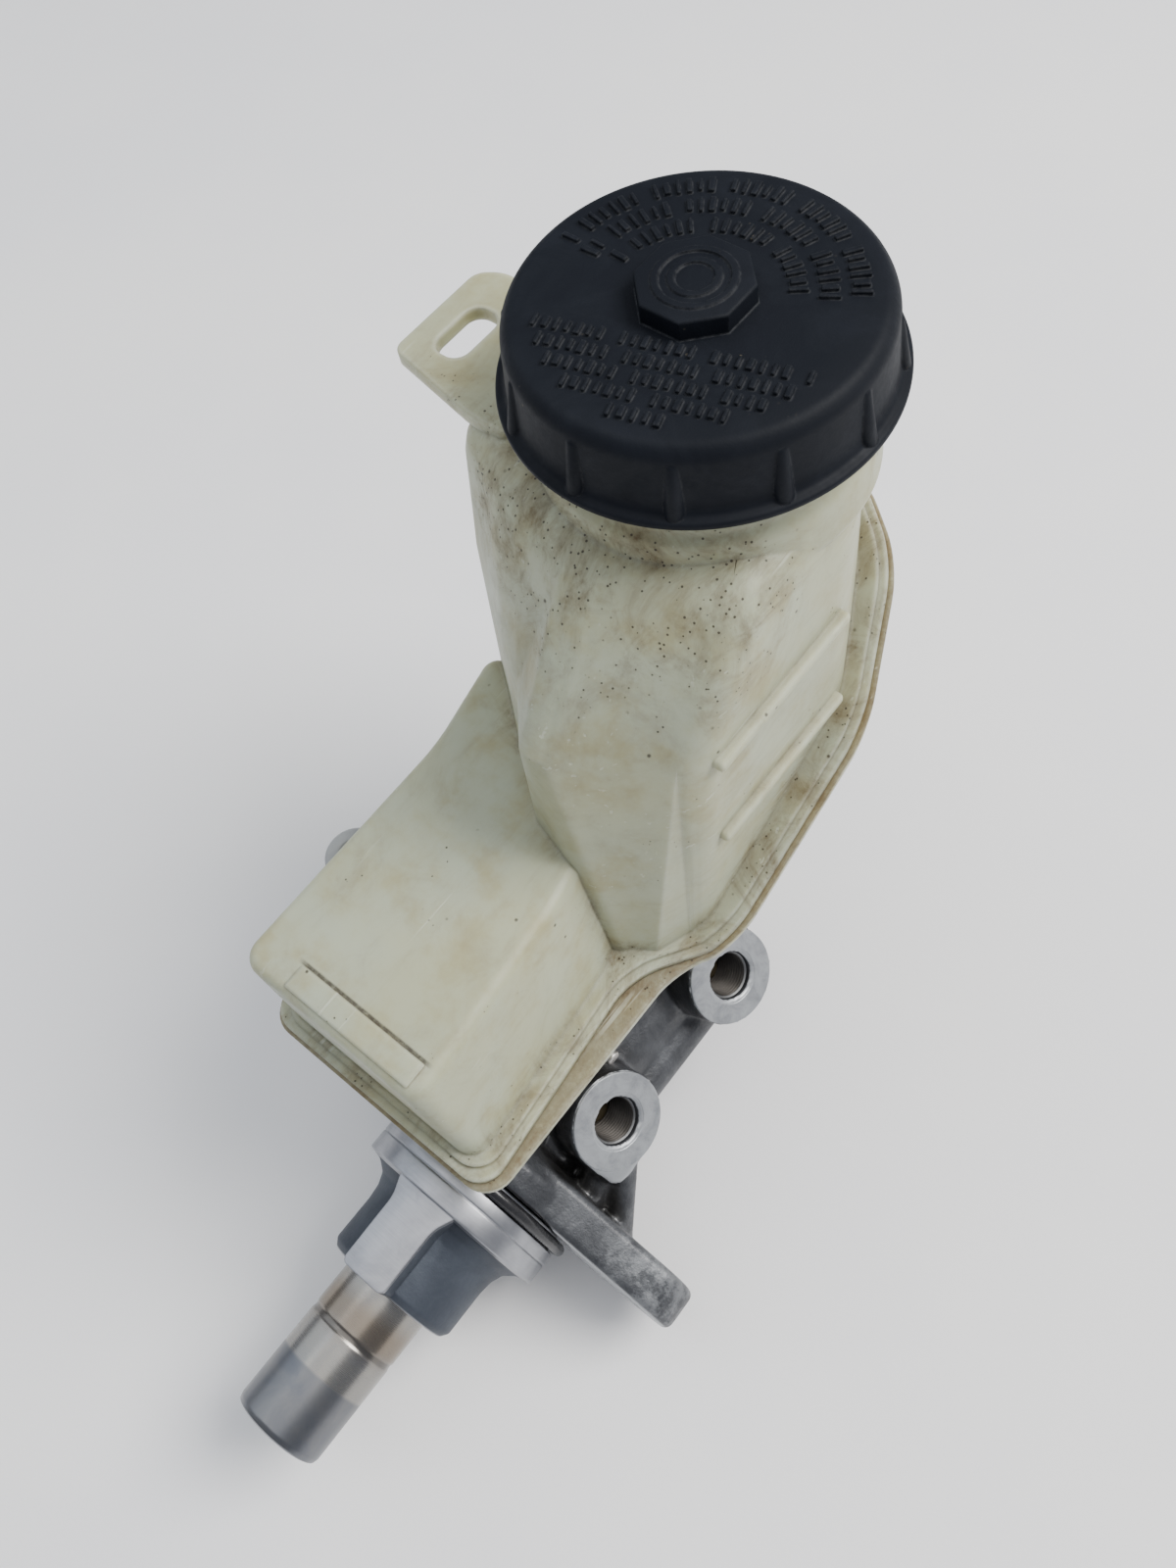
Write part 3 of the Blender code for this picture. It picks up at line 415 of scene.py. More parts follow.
def buildFloor():
    low = min(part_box(node)[0].z for node in nodes)
    mesh = bmesh.new()
    bmesh.ops.create_grid(mesh, x_segments=8, y_segments=8, size=3.0,
                          matrix=Matrix.Translation((0.0, 0.0, low - 0.0006)))
    data = bpy.data.meshes.new("floor")
    mesh.to_mesh(data)
    mesh.free()
    floor = bpy.data.objects.new("floor", data)
    bpy.context.scene.collection.objects.link(floor)
    paper = Finish("paperWhite")
    cloud = paper.noise(0.12, 3.0)
    grain = paper.noise(0.0015, 2.0)
    data.materials.append(paper.set(
        colour=paper.blend(cloud.fade(0.3, 0.7), (0.84, 0.84, 0.855), (0.88, 0.875, 0.87)),
        rough=0.7, specular=0.2, normal=paper.bump(grain, 0.00005)))


# finishes

def tankPlastic(name, seam):
    # milky plastic aged by fluid and grime, with painted shade in its corners and a painted highlight
    # along its ridges; seam is (height, bend, slope) in metres
    look = {"clean": (0.365, 0.375, 0.25), "aged": (0.3, 0.27, 0.13), "cool": (0.37, 0.4, 0.3),
            "filmAndCornerShade": (0.2, 0.18, 0.1), "grime": (0.1, 0.062, 0.027),
            "speck": (0.03, 0.02, 0.012), "ridgeHighlightAndScratch": (0.56, 0.58, 0.48)}
    made = Finish(name)
    tint = made.noise(0.045, 3.0, 0.5, 0.6)
    tintFine = made.noise(0.012, 5.0, 0.6)
    smear = made.noise(0.022, 9.0, 0.72, 1.4)
    streaks = made.noise(0.005, 7.0, 0.7, 0.5, made.stretched((1.0, 0.25, 1.0), (0.0, 0.0, 0.5)))
    dust = made.noise(0.0014, 5.0, 0.7)
    corner = made.crevice(0.007).fade(0.08, 0.5)
    bend = (made.y - seam[1]).atLeast(0.0) * seam[2]
    offSeam = made.z - (bend + seam[0])
    weld = offSeam.fade(0.009, 0.002) * offSeam.fade(-0.004, 0.0)
    groove = abs(offSeam).fade(0.0009, 0.0002)
    top = made.z.fade(0.118, 0.15) * made.y.fade(0.118, 0.09)
    crease = abs(made.y - 0.0068).fade(0.0007, 0.0002) * made.z.fade(0.083, 0.0845)
    crease = crease * (abs(made.x + 0.0155).fade(0.0195, 0.0165))
    zones = (corner * 0.9 + weld * 0.9 + top * 0.85 + 0.2).atMost(1.0)
    patches = smear.fade(0.42, 0.72) * 0.65 + streaks.fade(0.45, 0.7) * 0.45
    dirt = (patches * zones * (0.6 + dust * 0.8)).atMost(1.0)
    # painted highlight: convex edges lightened, kept out of the corners
    ridgeHighlightAndScratch = made.edge(0.0022, 0.01, 0.2) * (1.0 - corner)
    colour = made.blend(tint.fade(0.35, 0.68), look["clean"], look["cool"])
    colour = made.blend(tintFine.fade(0.42, 0.75) * 0.7, colour, look["aged"])
    colour = made.blend(ridgeHighlightAndScratch * 0.6, colour, look["ridgeHighlightAndScratch"])
    # grime haze from noise, plus painted shade laid evenly into the corners
    filmAndCornerShade = smear.fade(0.5, 0.8) * 0.22 + streaks.fade(0.55, 0.75) * 0.12 + corner * 0.4
    colour = made.blend(filmAndCornerShade, colour, look["filmAndCornerShade"])
    colour = made.blend(dirt * 0.9, colour, look["grime"])
    broken = dust.fade(0.2, 0.6) * 0.5 + 0.5
    colour = made.blend(groove * broken * 0.6, colour, look["grime"])
    colour = made.blend(crease * broken * 0.9, colour, look["speck"])
    spots = made.cells(0.0036).fade(0.15, 0.05) * made.noise(0.013, 3.0).fade(0.54, 0.6)
    pepper = made.cells(0.0015).fade(0.22, 0.1)
    pepper = pepper * (dirt * 1.5 + top * 0.4 + made.noise(0.009, 4.0).fade(0.6, 0.7) * 0.5)
    pepper = pepper.fade(0.2, 0.5)
    specks = spots.atLeast(pepper)
    colour = made.blend(specks * 0.85, colour, look["speck"])
    scratch = made.noise(0.0016, 2.0, 0.5, 0.2, made.stretched((1.0, 0.03, 1.0), (0.0, 0.2, 0.9)))
    scratch = scratch.fade(0.66, 0.72) * made.noise(0.02, 2.0).fade(0.48, 0.6)
    colour = made.blend(scratch * 0.4, colour, look["ridgeHighlightAndScratch"])
    skin = made.noise(0.0011, 3.0, 0.6)
    height = skin * 0.2 + made.noise(0.009, 2.0) * 0.9 + specks * 0.6 + dirt * 0.5 - scratch * 0.4
    normal = made.bump(height, 0.00014, 0.8, made.softened(0.0014))
    rough = 0.3 + dirt * 0.4 + tintFine * 0.12 + smear * 0.12
    return made.set(colour=colour, rough=rough, normal=normal, under=0.35,
                    underReach=0.008, underColour=(1.0, 0.9, 0.6), ior=1.46)


def capPlastic(name, centre):
    look = {"black": (0.0045, 0.0058, 0.009), "dusty": (0.05, 0.052, 0.056),
            "dirt": (0.1, 0.085, 0.06), "rub": (0.011, 0.013, 0.018)}
    made = Finish(name)
    wear = made.edge(0.0007)
    cloud = made.noise(0.014, 6.0, 0.65, 0.5)
    fine = made.noise(0.0012, 4.0, 0.6)
    colour = made.blend(cloud.fade(0.4, 0.75) * 0.5, look["black"], look["rub"])
    colour = made.blend(wear * fine.fade(0.35, 0.65) * 0.45, colour, look["dusty"])
    low = made.z.fade(centre.z * mm - 0.002, centre.z * mm - 0.012)
    hole = made.crevice(0.004, 1.2)
    caked = (hole * 0.9 + low * 0.35) * made.noise(0.006, 6.0, 0.7)
    caked = caked.fade(0.38, 0.62)
    colour = made.blend(caked * 0.6, colour, look["dirt"])
    grit = made.cells(0.0028).fade(0.14, 0.05) * made.noise(0.02, 3.0).fade(0.55, 0.65)
    colour = made.blend(grit * 0.6, colour, look["dirt"])
    rough = 0.5 + fine * 0.16 + caked * 0.2 - cloud.fade(0.5, 0.75) * 0.12
    height = fine * 0.5 + made.noise(0.0004, 2.0) * 0.4 + caked * 0.8
    normal = made.bump(height, 0.00007, 0.8, made.softened(0.0005))
    return made.set(colour=colour, rough=rough, normal=normal, specular=0.12)


def castMetal(name, port):
    # oily cast aluminium with painted shade in its crevices and a painted highlight on its lugs; the
    # port faces and flange face are machined bright
    look = {"cast": (0.035, 0.037, 0.042), "light": (0.085, 0.089, 0.097), "oilAndShade": (0.01, 0.009, 0.008),
            "bright": (0.4, 0.415, 0.43), "rust": (0.09, 0.055, 0.03)}
    made = Finish(name)
    cloud = made.noise(0.014, 6.0, 0.65, 0.8)
    fine = made.noise(0.0018, 5.0, 0.65)
    grain = made.noise(0.0006, 3.0, 0.6)
    colour = made.blend(cloud.fade(0.35, 0.75), look["cast"], look["light"])
    # oily staining from noise, plus painted shade that darkens every crevice
    stainAndCreviceShade = (made.crevice(0.009, 0.9) * 0.9 + made.noise(0.022, 5.0, 0.7, 1.0) * 0.75).fade(0.5, 0.9)
    colour = made.blend(stainAndCreviceShade * 0.85, colour, look["oilAndShade"])
    brown = made.noise(0.01, 5.0, 0.7).fade(0.6, 0.75) * 0.4
    colour = made.blend(brown * stainAndCreviceShade, colour, look["rust"])
    rub = made.edge(0.0012, 0.03, 0.2) * made.noise(0.003, 5.0, 0.7).fade(0.45, 0.6)
    # painted highlight: the lugs, 30 to 50 mm and more to the side of the bore, lightened in patches
    ends = abs(made.x).fade(0.03, 0.05) * made.noise(0.006, 6.0, 0.75).fade(0.42, 0.62)
    rub = (rub * (1.0 - stainAndCreviceShade * 0.6)).atLeast(ends * 0.55)
    facing = made.x * port["across"] + made.z * port["up"]
    cutFace = facing.fade(port["face"] - 0.0006, port["face"] - 0.0002)
    cutFace = cutFace * facing.fade(port["face"] + 0.001, port["face"] + 0.0004)
    cutFace = cutFace * made.y.fade(0.0125, 0.0135)
    machined = cutFace.atLeast(made.y.fade(0.0006, 0.0002))
    # edge wear, machined faces and the painted lug highlight together
    bright = (rub * 0.75).atLeast(machined)
    colour = made.blend(bright * 0.9, colour, look["bright"])
    metal = 0.55 + bright * 0.4 - stainAndCreviceShade * 0.3
    rough = 0.42 + fine * 0.22 - stainAndCreviceShade * 0.2 - machined * 0.05
    height = grain * 0.35 + fine * 0.8 + cloud * 0.6
    normal = made.bump(height * (1.0 - machined * 0.85), 0.00028, 0.9)
    return made.set(colour=colour, metal=metal, rough=rough, normal=normal,
                    coat=stainAndCreviceShade * 0.6 + 0.15, coatRough=0.14)


def machinedFace(name, port):
    look = {"face": (0.4, 0.415, 0.43), "dull": (0.25, 0.26, 0.275), "oilAndShade": (0.04, 0.033, 0.026)}
    made = Finish(name)
    cloud = made.noise(0.006, 6.0, 0.65, 0.6)
    fine = made.noise(0.0007, 4.0, 0.6)
    colour = made.blend(cloud.fade(0.35, 0.75), look["face"], look["dull"])
    facing = made.x * port["across"] + made.z * port["up"]
    # painted shade: the thread darkens with depth below the port face
    portDepthShade = facing.fade(port["face"] - 0.0003, port["face"] - 0.0028)
    colour = made.blend(portDepthShade * 0.92, colour, look["oilAndShade"])
    rough = 0.34 + fine * 0.2 + cloud * 0.1
    normal = made.bump(fine + cloud * 0.4, 0.00005, 0.7, made.softened(0.0003))
    return made.set(colour=colour, metal=0.9, rough=rough, normal=normal)


def guideMetal(name, step, nose):
    # turned bright on the ring and the ribs, slate grey in the pockets between them
    look = {"bright": (0.38, 0.385, 0.405), "dull": (0.26, 0.265, 0.285), "slate": (0.042, 0.05, 0.066),
            "slateLight": (0.062, 0.073, 0.092)}
    made = Finish(name)
    rings = made.node("ShaderNodeTexNoise", {}, {
        "Vector": made.stretched((0.02, 1.0, 0.02)), "Scale": 6500.0, "Detail": 3.0}, "Fac")
    cloud = made.noise(0.01, 5.0, 0.6, 0.5)
    fine = made.noise(0.0008, 4.0, 0.6)
    colour = made.blend(cloud.fade(0.35, 0.75), look["bright"], look["dull"])
    colour = made.blend(rings.fade(0.4, 0.7) * 0.35, colour, look["dull"])
    out = made.fromBore()
    behind = made.y.fade(step + 0.0004, step - 0.0002)
    flank = out.fade(nose["bright"] + 0.0002, nose["bright"] - 0.0002)
    inPocket = behind * flank * made.y.fade(nose["end"] + 0.0001, nose["end"] + 0.0006)
    slate = made.blend(cloud.fade(0.3, 0.7), look["slate"], look["slateLight"])
    colour = made.blend(inPocket, colour, slate)
    rough = 0.27 + fine * 0.1 + inPocket * 0.22 + rings * 0.08
    height = rings * (1.0 - inPocket) * 0.4 + fine * inPocket * 2.0
    normal = made.bump(height, 0.00004, 0.8, made.softened(0.0005))
    return made.set(colour=colour, metal=0.95 - inPocket * 0.45, rough=rough, normal=normal,
                    brushed=0.2)


def pistonSteel(name, marks):
    # ground steel, stained by heat and use in bands along its length
    look = {"steel": (0.3, 0.288, 0.262), "blue": (0.125, 0.135, 0.158), "brown": (0.19, 0.14, 0.09),
            "ring": (0.05, 0.05, 0.05)}
    made = Finish(name)
    rings = made.node("ShaderNodeTexNoise", {}, {
        "Vector": made.stretched((0.03, 1.0, 0.03)), "Scale": 9000.0, "Detail": 2.0}, "Fac")
    cloud = made.noise(0.008, 6.0, 0.65, 0.8, made.stretched((1.0, 0.6, 1.0)))
    along = made.y + (cloud - 0.5) * 0.0009
    colour = made.blend(cloud.fade(0.35, 0.75), look["steel"], (0.24, 0.24, 0.24))
    blued = along.fade(marks["blue"] + 0.0005, marks["blue"] - 0.0005)
    colour = made.blend(blued * (0.45 + cloud * 0.5), colour, look["blue"])
    warm = abs(along - marks["ring"] - 0.004).fade(0.0075, 0.001)
    colour = made.blend(warm * 0.6, colour, look["brown"])
    mark = abs(along - marks["ring"]).fade(0.0011, 0.0004)
    colour = made.blend(mark * 0.5, colour, look["ring"])
    rough = 0.17 + rings * 0.1 + cloud * 0.1 + blued * 0.1
    normal = made.bump(rings, 0.00001, 0.6)
    return made.set(colour=colour, metal=1.0, rough=rough, normal=normal, brushed=0.3)


def sealRubber(name, gloss=0.35):
    made = Finish(name)
    cloud = made.noise(0.004, 5.0, 0.6)
    dust = made.noise(0.0009, 4.0, 0.7).fade(0.62, 0.75)
    colour = made.blend(cloud, (0.008, 0.008, 0.009), (0.02, 0.02, 0.022))
    colour = made.blend(dust * 0.3, colour, (0.08, 0.075, 0.065))
    normal = made.bump(cloud + dust, 0.00004, 0.6)
    return made.set(colour=colour, rough=gloss + cloud * 0.2, normal=normal)


def plainMetal(name, colour, rough, scratchSize=0.0012):
    made = Finish(name)
    cloud = made.noise(0.005, 5.0, 0.6)
    fine = made.noise(scratchSize, 4.0, 0.6)
    dark = tuple(value * 0.55 for value in colour)
    paint = made.blend(cloud.fade(0.35, 0.8), colour, dark)
    # painted shade: darker into every crevice
    stainAndCreviceShade = made.crevice(0.002, 1.3)
    paint = made.blend(stainAndCreviceShade * 0.7, paint, (0.03, 0.025, 0.02))
    normal = made.bump(fine, 0.00003, 0.7)
    return made.set(colour=paint, metal=1.0, rough=rough + fine * 0.2, normal=normal)


def mouldedPlastic(name, colour, rough=0.45):
    made = Finish(name)
    cloud = made.noise(0.008, 5.0, 0.6, 0.5)
    fine = made.noise(0.0007, 3.0, 0.6)
    dark = tuple(value * 0.7 for value in colour)
    paint = made.blend(cloud.fade(0.3, 0.8), colour, dark)
    # noise-broken dirt laid only where crevices hold shade, so partly painted shade
    dirt = made.crevice(0.003, 1.2) * made.noise(0.004, 5.0).fade(0.35, 0.6)
    paint = made.blend(dirt * 0.7, paint, (0.06, 0.045, 0.03))
    normal = made.bump(fine, 0.00005, 0.7, made.softened(0.0004))
    return made.set(colour=paint, rough=rough + fine * 0.2, normal=normal)


# filler cap

def buildCap():
    low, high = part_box("reservoir_cap")
    centre = middle("reservoir_cap")
    cap = {"lip": (high.x - low.x) / mm / 2.0, "side": 34.0, "foot": low.z / mm,
           "top": high.z / mm - 3.7, "boss": 10.4, "bossTop": high.z / mm, "inside": 32.2,
           "ceiling": 176.2, "ribs": 12, "rings": (6.6, 3.9)}
    side = cap["side"]
    top = cap["top"]
    foot = cap["foot"]
    outer = rounded([(0.0, top), (side - 8.0, top), (side - 2.6, top - 0.35), (side - 0.9, top - 2.4),
                     (side - 0.1, foot + 3.0), (side + 0.5, foot + 1.9), (cap["lip"], foot + 1.4),
                     (cap["lip"], foot), (cap["inside"], foot),
                     (cap["inside"], cap["ceiling"]), (0.0, cap["ceiling"])], 1.3, 4)
    mesh = lathe(outer, "Z", (centre.x, centre.y, 0.0), 192)
    for turn in range(cap["ribs"]):
        angle = math.tau * turn / cap["ribs"]
        across = Vector((math.cos(angle), math.sin(angle), 0.0))
        at = Vector((centre.x, centre.y, 0.0)) + across * (side - 0.2)
        rib = rod(at + Vector((0.0, 0.0, foot + 1.0)),
                  at - across * 1.6 + Vector((0.0, 0.0, top - 3.4)), 1.9, 20, 1.3, 0.8)
        join(mesh, rib)
    spot = Vector((centre.x, centre.y, 0.0))
    boss = rod(spot + Vector((0.0, 0.0, top - 0.6)), spot + Vector((0.0, 0.0, cap["bossTop"])),
               cap["boss"], 8, None, 0.0)
    bmesh.ops.rotate(boss, cent=spot, matrix=Matrix.Rotation(math.radians(22.5), 3, "Z"),
                     verts=boss.verts)
    edges = [edge for edge in boss.edges
             if all(vert.co.z > top for vert in edge.verts)]
    bmesh.ops.bevel(boss, geom=edges, offset=0.45, segments=3, profile=0.5, affect="EDGES",
                    material=-1)
    join(mesh, boss)
    crest = cap["bossTop"]
    for radius in cap["rings"]:
        ring = rounded([(radius - 0.75, crest - 0.5), (radius + 0.75, crest - 0.5),
                        (radius + 0.6, crest + 0.35), (radius - 0.6, crest + 0.35)], 0.2, 2)
        join(mesh, lathe(ring, "Z", (centre.x, centre.y, 0.0), 72))
    # plain raised bars in three arcs and five rows, where a maker would put wording
    bars = {"turn": 16.0, "arcHigh": 0.62, "rowHigh": 0.6, "arcPitch": 1.95, "rowPitch": 1.9,
            "rowStart": -12.2, "rowGap": 3.7, "rowTall": 2.7, "reach": 27.5}
    arcs = ((26.6, 152.0, 3.5), (21.6, 158.0, 3.5), (16.6, 150.0, 3.3))
    for radius, span, tall in arcs:
        count = int(radius * math.radians(span) / bars["arcPitch"])
        for step in range(count):
            if step % 7 == 6:
                continue
            wide = (0.65, 1.1, 0.6, 0.9)[step % 4]
            bar = raisedBar(0.0, radius, wide, tall * (1.0, 0.8, 1.0)[step % 3], top,
                            bars["arcHigh"])
            angle = bars["turn"] - span / 2.0 + span * (step + 0.5) / count
            join(mesh, turned(bar, angle, centre))
    for row in range(5):
        away = bars["rowStart"] - row * bars["rowGap"]
        half = math.sqrt(bars["reach"] ** 2 - away ** 2)
        count = int(half * 2.0 / bars["rowPitch"])
        for step in range(count):
            if step % 8 == 7:
                continue
            wide = (0.7, 1.1, 0.65)[step % 3]
            tall = bars["rowTall"] * (1.0, 0.85)[step % 2]
            across = -half + (step + 0.5) * 2.0 * half / count
            bar = raisedBar(across, away, wide, tall, top, bars["rowHigh"])
            join(mesh, turned(bar, bars["turn"], centre))
    return place(mesh, "capShell", capPlastic("capPlastic", centre), "cap", ("reservoir_cap",),
                 "cap_plastic", 35.0, 0.0)


def raisedBar(x, y, wide, tall, top, high):
    # x and y are the bar's middle, and it is sunk into the cap's top
    return block((x - wide / 2.0, y - tall / 2.0, top - 0.5),
                 (x + wide / 2.0, y + tall / 2.0, top + high), 0.12, 1)


def turned(mesh, degrees, centre):
    turn = Matrix.Rotation(math.radians(degrees), 4, "Z")
    bmesh.ops.transform(mesh, matrix=Matrix.Translation((centre.x, centre.y, 0.0)) @ turn,
                        verts=mesh.verts)
    return mesh


# reservoir shells

tank = {"seam": 50.0, "seamBend": 68.0, "seamSlope": 0.55, "floor": 36.0, "floorBend": 90.0,
        "wingTop": 85.0, "shoulder": 120.0, "roof": 150.0, "wall": 2.5, "tray": 1.4,
        "corner": 5.0, "steps": 8, "gap": 0.15, "sides": (-90.0, 60.0), "ends": (-20.0, 175.0),
        "spigots": (13.5, 56.0)}


def seamAt(y):
    return tank["seam"] + max(0.0, y - tank["seamBend"]) * tank["seamSlope"]


def inset(corners, distance):
    moved = []
    for index, corner in enumerate(corners):
        before = Vector(corners[index - 1])
        here = Vector(corner)
        after = Vector(corners[(index + 1) % len(corners)])
        first = (here - before).normalized()
        second = (after - here).normalized()
        normal = Vector((-first.y, first.x))
        other = Vector((-second.y, second.x))
        split = (normal + other).normalized()
        moved.append(tuple(here + split * distance / max(0.35, split.dot(normal))))
    return moved


def loft(levels, corner, crest=0.0, steps=8):
    # levels are (height, outline), each with as many corners
    mesh = bmesh.new()
    height, outline = levels[0]
    base = mesh.faces.new([mesh.verts.new((x, y, height)) for x, y in outline])
    front = base
    for height, outline in levels[1:]:
        grown = bmesh.ops.extrude_face_region(mesh, geom=[front])["geom"]
        passed = front
        front = [item for item in grown if isinstance(item, bmesh.types.BMFace)][0]
        for loop, (x, y) in zip(front.loops, outline):
            loop.vert.co = (x, y, height)
        if passed is not base and passed.is_valid:
            bmesh.ops.delete(mesh, geom=[passed], context="FACES_ONLY")
    bmesh.ops.recalc_face_normals(mesh, faces=mesh.faces)
    tall = [edge for edge in mesh.edges if abs(edge.verts[0].co.z - edge.verts[1].co.z) > 0.5]
    if corner:
        bmesh.ops.bevel(mesh, geom=tall, offset=corner, offset_type="OFFSET", segments=steps,
                        profile=0.5, affect="EDGES", material=-1)
    if crest:
        last = levels[-1][0]
        rim = [edge for edge in mesh.edges
               if all(abs(vert.co.z - last) < 0.01 for vert in edge.verts)]
        bmesh.ops.bevel(mesh, geom=rim, offset=crest, offset_type="OFFSET", segments=4,
                        profile=0.5, affect="EDGES", material=-1)
    bmesh.ops.triangulate(mesh, faces=mesh.faces[:])  # twisted walls would confuse a boolean
    return mesh


def slab(outline):
    # a (y, z) outline carried from one side of the tank past the other
    low, high = tank["sides"]
    mesh = bmesh.new()
    face = mesh.faces.new([mesh.verts.new((low, y, z)) for y, z in outline])
    return extruded(mesh, face, (high - low, 0.0, 0.0))


def seamSlab(low, high):
    ends = (tank["ends"][0], tank["seamBend"], tank["ends"][1])
    outline = [(y, seamAt(y) + low) for y in ends]
    outline += [(y, seamAt(y) + high) for y in reversed(ends)]
    return slab(outline)


def wingOutline(grow, top):
    right = [(6.0, -1.0), (1.0, 50.0), (-10.0, 88.0)] if top else \
            [(18.3, -1.0), (13.3, 50.0), (-4.0, 88.0)]
    return inset([(-46.0, -1.0), *right, (-52.0, 88.0), (-46.5, 62.0)], -grow)


def neckLevels(grow, low, high):
    base = [(-54.0, 87.0), (-24.0, 62.0), (12.6, 51.0), (20.5, 70.0), (20.5, 122.0),
            (7.0, 149.0), (-8.0, 157.0), (-36.0, 157.0), (-54.0, 142.0)]
    shoulder = [(-54.0, 94.0), (-26.0, 73.0), (-7.0, 58.0), (20.0, 76.0), (20.0, 123.0),
                (7.0, 148.0), (-8.0, 156.0), (-36.0, 156.0), (-54.0, 141.0)]
    roof = [(-54.5, 99.0), (-34.0, 90.0), (-12.0, 86.0), (18.0, 95.0), (19.0, 126.0),
            (7.0, 148.0), (-8.0, 155.0), (-36.0, 155.0), (-54.5, 140.0)]
    levels = [(low, base), (tank["shoulder"] - (tank["roof"] - high) * 0.3, shoulder), (high, roof)]
    return [(height, inset(corners, -grow)) for height, corners in levels]


def tankBlock(grow, low, wingTop, roof):
    corner = tank["corner"] + min(grow, 0.0) * 0.6
    wing = tool(loft([(low, wingOutline(grow, False)), (wingTop, wingOutline(grow, True))],
                     corner, 2.4, tank["steps"]))
    neck = tool(loft(neckLevels(grow, low - 1.0, roof), corner, 7.0 + grow * 0.6, tank["steps"]))
    return boolean(wing, neck, "UNION")


def rimOutline(wide):
    if wide:
        return [(-49.6, -5.4), (20.0, -5.4), (20.0, 60.0), (28.0, 73.0), (28.4, 122.0),
                (15.0, 152.0), (-2.0, 164.0), (-38.0, 163.0), (-58.0, 145.0), (-58.0, 86.0),
                (-49.6, 62.0)]
    return [(-49.0, -4.6), (18.6, -4.6), (13.4, 52.0), (26.8, 72.0), (27.2, 121.4),
            (14.0, 151.0), (-2.8, 163.0), (-37.4, 162.0), (-57.2, 144.6), (-57.2, 86.4),
            (-49.0, 62.0)]


def rimPlate(outline, low, high):
    plate = tool(loft([(0.0, outline), (160.0, outline)], 7.0, 0.0, 8))
    return boolean(plate, tool(seamSlab(low, high)), "INTERSECT")


def buildUpperShell(finish):
    shell = tankBlock(0.0, 30.0, tank["wingTop"], tank["roof"])
    neck = {"x": -12.4, "y": 122.0, "radius": 29.6, "top": 172.6, "bore": 26.0, "inner": 24.0,
            "foot": 144.0, "sides": 96}
    wide = neck["radius"]
    collar = rounded([(neck["inner"], neck["foot"]), (wide + 3.0, neck["foot"]),
                      (wide + 1.6, 153.0), (wide, 155.0), (wide, 166.6), (wide + 1.6, 167.4),
                      (wide + 1.6, 168.6), (wide, 169.4), (wide, neck["top"]),
                      (neck["inner"], neck["top"])], 0.8)
    boolean(shell, tool(lathe(collar, "Z", (neck["x"], neck["y"], 0.0), neck["sides"])), "UNION")
    boolean(shell, tool(seamSlab(tank["gap"], 150.0)), "INTERSECT")
    boolean(shell, rimPlate(rimOutline(False), tank["gap"], 2.15), "UNION")
    boolean(shell, rimPlate(inset(rimOutline(False), 2.0), 2.0, 3.1), "UNION")
    ear = {"top": 151.6, "thick": 3.0, "left": -75.0, "slot": (-69.0, 108.0, -61.0, 122.0)}
    corners = [(ear["left"], 104.0), (-50.0, 99.0), (-41.0, 99.0), (-41.0, 132.0), (-70.0, 132.0),
               (ear["left"], 129.0)]
    plate = tool(loft([(ear["top"] - ear["thick"], corners), (ear["top"], corners)], 2.2, 0.5, 5))
    x0, y0, x1, y1 = ear["slot"]
    slot = [(x0, y0), (x1, y0), (x1, y1), (x0, y1)]
    boolean(plate, tool(loft([(140.0, slot), (160.0, slot)], 3.4, 0.0, 8)), "DIFFERENCE")
    boolean(shell, plate, "UNION")
    for z in (88.0, tank["shoulder"] - 2.0):
        boolean(shell, tool(block((14.0, 79.0, z - 1.4), (22.2, 121.0, z + 1.4), 0.9)), "UNION")
    boolean(shell, tool(block((-33.0, 0.6, 81.0), (2.0, 6.4, 85.7), 0.5)), "UNION")
    inside = tankBlock(-tank["wall"], 28.0, tank["wingTop"] - tank["wall"],
                       tank["roof"] - tank["wall"])
    boolean(shell, inside, "DIFFERENCE")
    for radius, foot in ((neck["bore"], 138.0), (neck["bore"] + 1.4, 165.0)):
        mouth = rod((neck["x"], neck["y"], foot), (neck["x"], neck["y"], 178.0), radius,
                    neck["sides"])
        boolean(shell, tool(mouth), "DIFFERENCE")
    sensor = middle("level_switch")
    boolean(shell, tool(rod((sensor.x, sensor.y, 40.0), (sensor.x, sensor.y, 60.0), 3.3, 24)),
            "DIFFERENCE")
    return settle(shell, "upperShell", finish, "housing", ("reservoir_upper_shell",))


